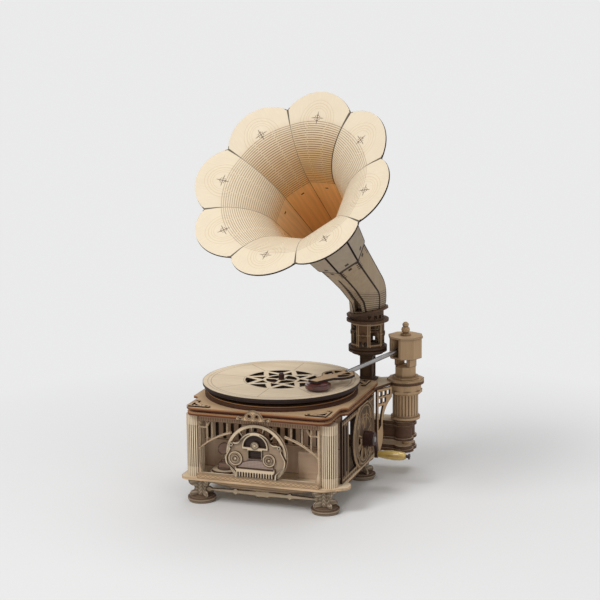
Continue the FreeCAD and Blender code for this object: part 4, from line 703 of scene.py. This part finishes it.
def make_screen():
    """Backdrop as one closed sheet on a grid; between the slats its upper part is sunk, not cut through."""
    low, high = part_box("backdrop")
    left, front, foot = Vector(low) / MM - TURNTABLE
    right, rear, head = Vector(high) / MM - TURNTABLE
    pocket = front + (rear - front) * SCREEN_SINK
    columns = [left]
    for step in range(SCREEN_SLOTS):
        start = SCREEN_FIRST + step * SCREEN_PITCH
        columns += [start, start + SCREEN_SLOT]
    columns.append(right)
    levels = [foot, SCREEN_SILL, SCREEN_HEAD, head]
    last, top = len(columns) - 1, len(levels) - 1
    mesh = bmesh.new()
    fore, back = [
        [[mesh.verts.new(in_frame(x, y, z)) for z in levels] for x in columns] for y in (front, rear)
    ]
    for i in range(last):
        for j in range(top):
            cell = ((i, j), (i + 1, j), (i + 1, j + 1), (i, j + 1))
            mesh.faces.new([back[m][n] for m, n in reversed(cell)])
            brim = [fore[m][n] for m, n in cell]
            if j == 1 and i % 2 == 1:
                bed = [mesh.verts.new(in_frame(columns[m], pocket, levels[n])) for m, n in cell]
                mesh.faces.new(bed)
                for k in range(4):
                    mesh.faces.new((brim[k], brim[k - 3], bed[k - 3], bed[k]))
            else:
                mesh.faces.new(brim)
        for j in (0, top):
            mesh.faces.new((fore[i][j], fore[i + 1][j], back[i + 1][j], back[i][j]))
    for j in range(top):
        for i in (0, last):
            mesh.faces.new((fore[i][j], fore[i][j + 1], back[i][j + 1], back[i][j]))
    bmesh.ops.recalc_face_normals(mesh, faces=mesh.faces)
    piece = new_object("backdrop_screen", mesh, screen_ply)
    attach(piece, "base")
    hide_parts("backdrop")


def make_pane(name, points):
    """Thin closed sheet with this outline, in the inner half of the radio's panel."""
    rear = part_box("radio_panel")[1][1] / MM - TURNTABLE.y
    mesh = bmesh.new()
    outer, inner = [
        [mesh.verts.new(in_frame(x, rear - depth, z)) for x, z in points] for depth in (PANE_FRONT, PANE_REAR)
    ]
    mesh.faces.new(outer)
    mesh.faces.new(list(reversed(inner)))
    for k in range(len(points)):
        mesh.faces.new((outer[k - 1], outer[k], inner[k], inner[k - 1]))
    bmesh.ops.recalc_face_normals(mesh, faces=mesh.faces)
    piece = new_object(name, mesh, pane_ply)
    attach(piece, "base")


make_screen()
make_pane("radio_screen_pane", PANE_CORNERS)
make_pane("radio_arch_pane", [
    (ARCH_R * math.cos(math.pi * k / ARCH_STEPS), ARCH_SILL + ARCH_R * math.sin(math.pi * k / ARCH_STEPS))
    for k in range(ARCH_STEPS + 1)
])


# Petals: each a long strip that climbs the bell, bends outwards over a field of fine cuts and ends in a lobe

PETALS = 8
PETAL_COLUMNS = 16
CLIMB_STEPS, BEND_STEPS, ROOT_STEPS, LOBE_STEPS = 12, 40, 6, 18
HALF_WEDGE = math.tan(math.pi / PETALS)

# Radii from the bell's axis and heights from the plane of its mouth; CONE is a point of the straight side
TIP_R = 90.1
LOBE_ROOT_R = 73.4
FOLD_R = 66.3
LOBE_DROP = 6.75
THROAT_R = 22.8
CONE = (29.2, -56.0)
ROOT_SHARE = (LOBE_ROOT_R - FOLD_R) / (TIP_R - FOLD_R)
ARC_BOW = 1.1

# Marks on a petal: lengths run from the start of the bend, unless a name says where else they start
KERF_PITCH = 1.95
KERF_SHARE = 0.30
KERF_FADE = 14.0
FIELD_LENGTH = 59.0
BRIDGE_REACH = 0.28
BRIDGE_SHIFT = 1.3
PLAIN_RIM = 0.5
STAR_PAST_FIELD = 1.5
STAR_ARM_HALF = (0.40, 0.90)
STAR_ARM_END = (4.2, 6.2)
STAR_DOTS = (1.9, 2.9)
STAR_ARCS = ((8.5, 0.3), (10.5, 0.3), (13.0, 0.4), (15.8, 0.3))
ARCS_BEFORE_END = 9.0
SEAM_REACH, LOBE_EDGE_REACH = 0.22, 0.05
NOTCH_LENGTH = 16.0
NOTCH_REACH = 0.75
FIELD_FADE = (30.0, FIELD_LENGTH + 5.0)
THROAT_FADE = (-6.0, 16.0)
THROAT_SLOT = ((-7.2, -5.9), (-3.2, -0.4))
BACK_SEAM_HALF = (0.35, 0.6)
COLLAR_END = (1.0, 1.4)
COLLAR_SLOT = ((3.2, 6.2), (-1.8, 1.8))


def meet(p, d, q, e):
    """Where the line from p along d crosses the line from q along e."""
    reach = ((q[0] - p[0]) * e[1] - (q[1] - p[1]) * e[0]) / (d[0] * e[1] - d[1] * e[0])
    return (p[0] + d[0] * reach, p[1] + d[1] * reach)


def petal_profile():
    """Side view of a petal's inner face: (radius, height, slope, arc length) from the throat to the tip.

    The other two results are the arc lengths at which the bend starts and ends.
    """
    tip, fold, throat = (TIP_R, 0.0), (FOLD_R, -LOBE_DROP), (THROAT_R, -BELL_LENGTH)
    lobe = (tip[0] - fold[0], tip[1] - fold[1])
    side = (CONE[0] - throat[0], CONE[1] - throat[1])
    corner = meet(fold, lobe, CONE, side)
    tangent = math.dist(corner, fold)
    steep = math.atan2(side[1], side[0])
    shallow = math.atan2(lobe[1], lobe[0])
    turn = steep - shallow
    radius = tangent / math.tan(turn / 2)
    start = (corner[0] - math.cos(steep) * tangent, corner[1] - math.sin(steep) * tangent)
    centre = (start[0] + math.sin(steep) * radius, start[1] - math.cos(steep) * radius)
    climb = math.dist(throat, start)
    bend = radius * turn
    points = []
    for step in range(CLIMB_STEPS):
        t = step / CLIMB_STEPS
        r, height = throat[0] + (start[0] - throat[0]) * t, throat[1] + (start[1] - throat[1]) * t
        points.append((r, height, steep, climb * t))
    for step in range(BEND_STEPS):
        t = step / BEND_STEPS
        slope = steep - turn * t
        r, height = centre[0] - math.sin(slope) * radius, centre[1] + math.cos(slope) * radius
        points.append((r, height, slope, climb + bend * t))
    shares = [ROOT_SHARE * k / ROOT_STEPS for k in range(ROOT_STEPS)]
    shares += [
        ROOT_SHARE + (1 - ROOT_SHARE) * math.sin(math.pi / 2 * k / LOBE_STEPS) for k in range(LOBE_STEPS + 1)
    ]
    for t in shares:
        length = climb + bend + math.dist(fold, tip) * t
        points.append((fold[0] + lobe[0] * t, fold[1] + lobe[1] * t, shallow, length))
    return points, climb, climb + bend


profile, field_start, fold_length = petal_profile()
field_end = field_start + FIELD_LENGTH
root_length = fold_length + math.dist((FOLD_R, -LOBE_DROP), (TIP_R, 0.0)) * ROOT_SHARE


def lobe_half_width(r):
    """Half the petal's width at this radius, in the view along the bell's axis."""
    if r <= LOBE_ROOT_R:
        return r * HALF_WEDGE
    chord = LOBE_ROOT_R * HALF_WEDGE
    rise = TIP_R - LOBE_ROOT_R
    arc = (chord * chord + rise * rise) / (2 * rise)
    centre = TIP_R - arc
    return math.sqrt(max(0.0, arc * arc - (r - centre) ** 2))


def make_petal(index, materials):
    """One strip, with materials for its face, rim and back.

    Its first map holds the length and the place across, its second the arc's level and the edge distance.
    """
    spin = 2 * math.pi * index / PETALS
    radial = DOWN * math.cos(spin) + ACROSS * math.sin(spin)
    side = ACROSS * math.cos(spin) - DOWN * math.sin(spin)
    middle = in_frame(*MOUTH)
    mesh = bmesh.new()
    sheet = mesh.loops.layers.uv.new("Sheet")
    arc = mesh.loops.layers.uv.new("Arc")

    def strip(r, height, slope, length, depth):
        """Corners from side to side, this deep in the sheet, each with what its two maps say."""
        half = lobe_half_width(r)
        place = radial * (r + math.sin(slope) * depth) + OUT * (height - math.cos(slope) * depth)
        corners = []
        for column in range(PETAL_COLUMNS + 1):
            t = -half + 2 * half * column / PETAL_COLUMNS
            level = length + ARC_BOW * t * t * min(r, FOLD_R) / (2 * FOLD_R ** 2)
            vertex = mesh.verts.new(middle + (place + side * t) * MM)
            corners.append((vertex, (length, t), (level, half - abs(t))))
        return corners

    def quad(corners, material_index):
        polygon = mesh.faces.new([corner[0] for corner in corners])
        polygon.material_index = material_index
        polygon.smooth = True
        for loop, corner in zip(polygon.loops, corners):
            loop[sheet].uv = corner[1]
            loop[arc].uv = corner[2]

    rows = [[strip(*point, depth) for depth in (0.0, THIN_PLY)] for point in profile]
    for a, b in zip(rows, rows[1:]):
        for k in range(PETAL_COLUMNS):
            quad((a[0][k], a[0][k + 1], b[0][k + 1], b[0][k]), 0)
            quad((a[1][k + 1], a[1][k], b[1][k], b[1][k + 1]), 2)
        quad((a[1][0], a[0][0], b[0][0], b[1][0]), 1)
        quad((a[0][-1], a[1][-1], b[1][-1], b[0][-1]), 1)
    near, far = rows[0]
    for k in range(PETAL_COLUMNS):
        quad((near[k + 1], near[k], far[k], far[k + 1]), 1)
    bmesh.ops.remove_doubles(mesh, verts=mesh.verts, dist=0.02 * MM)
    piece = new_object(f"petal_sheet_{index + 1}", mesh, *materials)
    edge_split = piece.modifiers.new("crisp_rim", "EDGE_SPLIT")
    edge_split.split_angle = math.radians(50)
    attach(piece, "base")
    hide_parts(f"petal_{index + 1}")


def petal_cuts(level, across, edge):
    """Fine cuts across the field, broken by bridges that shift from one cut to the next."""
    past_start = level - field_start
    odd = (past_start / KERF_PITCH).work("FLOOR").work("FLOORED_MODULO", 2.0)
    third = (abs(across) + edge) * 0.3333
    bridge = abs(abs(across) - third - odd * BRIDGE_SHIFT) > BRIDGE_REACH
    inside = level.between(field_start, field_end) * (edge > PLAIN_RIM)
    fade = level.remap(field_end - KERF_FADE, field_end, 1.0, 0.75)
    return past_start.stripes(KERF_PITCH, KERF_SHARE) * inside * bridge * fade


def petal_star(level, across):
    """Small star with dots round it, and faint arcs further out."""
    ahead = level - (field_end + STAR_PAST_FIELD)
    radius = distance(ahead, across)
    turn = angle_of(ahead, across)
    arm = (abs((turn * 2.0).work("SINE")) * radius).remap(*STAR_ARM_HALF, 1.0, 0.0)
    star = arm * radius.remap(*STAR_ARM_END, 1.0, 0.0)
    dots = radius.between(*STAR_DOTS) * (abs((turn * 5.0).work("SINE")) > 0.75)
    arcs = lines(radius, STAR_ARCS) * (level > field_end - ARCS_BEFORE_END)
    return strongest(star, dots), arcs


def petal_seam(length, across, edge, lip):
    """Dark line along both edges, with a wide notch of painted shade at the root of the lobe and a lip on one
    side.
    """
    # The notch paints the shade in the gap where two lobes part
    notch = length.remap(root_length - NOTCH_LENGTH, root_length) * (length < root_length + 2.0)
    plain = length.remap(root_length - 1.0, root_length + 1.0, SEAM_REACH, LOBE_EDGE_REACH)
    reach = plain + notch * NOTCH_REACH
    if lip:
        reach = reach + (across < 0.0) * length.between(field_start, root_length) * lip
    return (edge / reach).remap(0.7, 1.2, 1.0, 0.0)


def petal_face(name, burn, ink, lip=0.0):
    """Cream lobe with a small star, a field of fine cuts over the bend, and a warm throat.

    burn is how brown the field and how deep the throat's colour are, partly the burn of the cuts and partly
    painted shade on the upper petals; ink how dark its cuts are, lip how wide the dark edge on one side is.
    """
    look = Look(name)
    length, across, sheet = look.uv("Sheet")
    level, edge, _ = look.uv("Arc")
    grain = look.noise(0.09, 4.0, (1.0, 9.0, 1.0), sheet)
    streaks = look.noise(0.05, 3.0, (0.35, 6.0, 1.0), sheet)
    clouds = look.noise(26.0, 2.0)
    cream = grain.remap(0.3, 0.7).mix(shade(CREAM, 0.94), CREAM)
    cream = clouds.remap(0.35, 0.7, 0.0, 0.22).mix(cream, PALE_PLY)
    field = clouds.remap(0.3, 0.7, 0.0, 0.45).mix(FIELD, PALE_PLY)
    # Throat colour runs from the lit one to the deep one with the petal's burn: the paler throats are painted
    # light
    throat = tuple(pale + (deep - pale) * burn for pale, deep in zip(LIT_THROAT, THROAT))
    warm = streaks.remap(0.35, 0.65).mix(shade(throat, 0.82), throat)
    cut = petal_cuts(level, across, edge)
    marks, arcs = petal_star(level, across)
    seam = petal_seam(length, across, edge, lip)
    slot_along, slot_across = THROAT_SLOT
    slot = (length - field_start).between(*slot_along) * across.between(*slot_across)
    past_start = level - field_start
    colour = past_start.remap(*FIELD_FADE, burn, 0.0).mix(cream, field)
    colour = past_start.remap(*THROAT_FADE, 1.0, 0.0).mix(colour, warm)
    colour = (arcs * 0.28).mix(colour, FIELD)
    colour = (cut * ink).mix(colour, KERF)
    colour = (marks * 0.9).mix(colour, BROWN_EDGE)
    colour = (seam * 0.9).mix(colour, CHAR)
    colour = slot.mix(colour, CHAR)
    look.give(colour, 0.62, 0.3)
    look.bump(grain * 0.15 - cut, 0.4, 0.4 * MM)
    return look.material


def petal_back():
    """Outside of a petal: grey-brown, partly painted shade, with dark seams and a row of slots near the
    collar.
    """
    look = Look("ply_petal_back")
    length, across, _ = look.uv("Sheet")
    edge = look.uv("Arc")[1]
    grain = look.noise(300.0, 4.0, (0.4, 0.4, 1.0))
    clouds = look.noise(40.0, 2.0)
    cuts = length.stripes(KERF_PITCH, KERF_SHARE) * length.between(field_start, field_end)
    seam = strongest(edge.remap(*BACK_SEAM_HALF, 1.0, 0.0), length.remap(*COLLAR_END, 1.0, 0.0))
    slot_along, slot_across = COLLAR_SLOT
    slot = length.between(*slot_along) * across.between(*slot_across)
    # Grey-brown back: the ply darkened partly as painted shade
    colour = grain.remap(0.3, 0.7).mix(shade(BACK_SHADED_PLY, 0.86), BACK_SHADED_PLY)
    colour = clouds.remap(0.3, 0.7, 0.0, 0.3).mix(colour, TAN_PLY)
    colour = (cuts * 0.5).mix(colour, BROWN_EDGE)
    colour = (strongest(seam, slot) * 0.92).mix(colour, CHAR)
    look.give(colour, 0.65)
    look.bump(grain, 0.25, 0.2 * MM)
    return look.material


rim = plywood("ply_petal_rim", None, CHAR, CHAR)
back = petal_back()
burnt_shaded_face = petal_face("ply_petal_burnt_shaded", 1.0, 0.9)
lined_face = petal_face("ply_petal_lined", 0.22, 0.62)
pale_lit_face = petal_face("ply_petal_pale", 0.2, 0.42)
top_shaded_face = petal_face("ply_petal_top", 1.0, 0.9, 0.7)
# Upper petals get the browner faces as painted shade, lower and left ones the paler faces as painted light
faces = (pale_lit_face, pale_lit_face, pale_lit_face, lined_face, top_shaded_face, burnt_shaded_face, lined_face, lined_face)
for number, face in enumerate(faces):
    make_petal(number, (face, rim, back))


# Floor, lights and camera

# Floor and lamps, in metres. A lamp has its name, its place, what it points at, its size and its power.
FLOOR_HALF = 60.0
FLOOR_FADE = (0.16, 0.50)
ROOM_LIGHT = 0.36
LAMPS = (
    ("key", (-0.65, -1.35, 1.6), (0.0, 0.0, 0.15), 0.8, 22.0),
    ("top", (0.2, 0.3, 1.9), (0.0, 0.0, 0.2), 1.2, 10.0),
    ("fill", (1.5, -0.9, 0.8), (0.0, 0.0, 0.15), 1.2, 3.65),
)

# Camera, in millimetres from the turntable's axis
CAMERA_PLACE = (481.3, -1354.5, 469.4)
CAMERA_YAW = math.radians(18.878)
CAMERA_PITCH = math.radians(11.700)
CAMERA_ROLL = math.radians(-0.5835)
CAMERA_LENS = 100.04
SENSOR_WIDTH = 36.0


def show_paper(tree, far, plain, paper, target):
    """Show the paper instead of the plain shader: far out, to the camera and to what mirrors or sends on."""
    rays = add(tree, "ShaderNodeLightPath")
    kinds = ("Camera", "Glossy", "Transmission")
    seen = strongest(*(Num(tree, rays.outputs[f"Is {kind} Ray"]) for kind in kinds))
    blend = add(tree, "ShaderNodeMixShader")
    feed(tree, blend.inputs[0], seen * far)
    feed(tree, blend.inputs[1], plain.outputs[0])
    feed(tree, blend.inputs[2], paper.outputs[0])
    feed(tree, target, blend.outputs[0])


def make_floor():
    """Wide pale floor: paint near the model, where it keeps the shadow, and even paper white further out."""
    mesh = bmesh.new()
    corners = ((-1, -1), (1, -1), (1, 1), (-1, 1))
    mesh.faces.new([mesh.verts.new((x * FLOOR_HALF, y * FLOOR_HALF, 0)) for x, y in corners])
    look = Look("floor_paint")
    look.give(look.noise(3.0, 3.0).mix(shade(PAPER, 0.98), PAPER), 0.9, 0.0)
    paper = add(look.tree, "ShaderNodeEmission")
    feed(look.tree, paper.inputs["Color"], PAPER)
    reach = add(look.tree, "ShaderNodeVectorMath", operation="LENGTH")
    feed(look.tree, reach.inputs[0], look.point)
    far = Num(look.tree, reach.outputs["Value"]).remap(*FLOOR_FADE)
    show_paper(look.tree, far, look.shader, paper, look.tree.nodes["Material Output"].inputs["Surface"])
    floor = new_object("floor", mesh, look.material)


def make_room():
    """Soft light from all round; the camera sees plain paper white instead."""
    world = bpy.data.worlds.new("room")
    bpy.context.scene.world = world
    world.use_nodes = True
    tree = world.node_tree
    room = tree.nodes["Background"]
    paper = add(tree, "ShaderNodeBackground")
    for background, colour, strength in ((room, DAYLIGHT, ROOM_LIGHT), (paper, PAPER, 1.0)):
        feed(tree, background.inputs["Color"], colour)
        feed(tree, background.inputs["Strength"], strength)
    show_paper(tree, 1.0, room, paper, tree.nodes["World Output"].inputs["Surface"])


def make_lamp(name, place, target, size, power):
    data = bpy.data.lights.new(name, "AREA")
    data.shape = "DISK"
    data.size = size
    data.energy = power
    lamp = bpy.data.objects.new(name, data)
    bpy.context.collection.objects.link(lamp)
    lamp.location = place
    lamp.rotation_euler = (Vector(target) - Vector(place)).to_track_quat("-Z", "Y").to_euler()


def make_camera():
    data = bpy.data.cameras.new("camera")
    data.lens = CAMERA_LENS
    data.sensor_width = SENSOR_WIDTH
    camera = bpy.data.objects.new("camera", data)
    bpy.context.collection.objects.link(camera)
    ahead = heading(CAMERA_YAW + math.pi / 2, -CAMERA_PITCH)
    level = heading(CAMERA_YAW)
    upright = level.cross(ahead)
    right = level * math.cos(CAMERA_ROLL) + upright * math.sin(CAMERA_ROLL)
    up = upright * math.cos(CAMERA_ROLL) - level * math.sin(CAMERA_ROLL)
    turn = Matrix((right, up, -ahead)).transposed().to_4x4()
    camera.matrix_world = Matrix.Translation(in_frame(*CAMERA_PLACE)) @ turn
    bpy.context.scene.camera = camera


make_floor()
make_room()
for lamp in LAMPS:
    make_lamp(*lamp)
make_camera()

bpy.context.scene.view_settings.view_transform = "Standard"
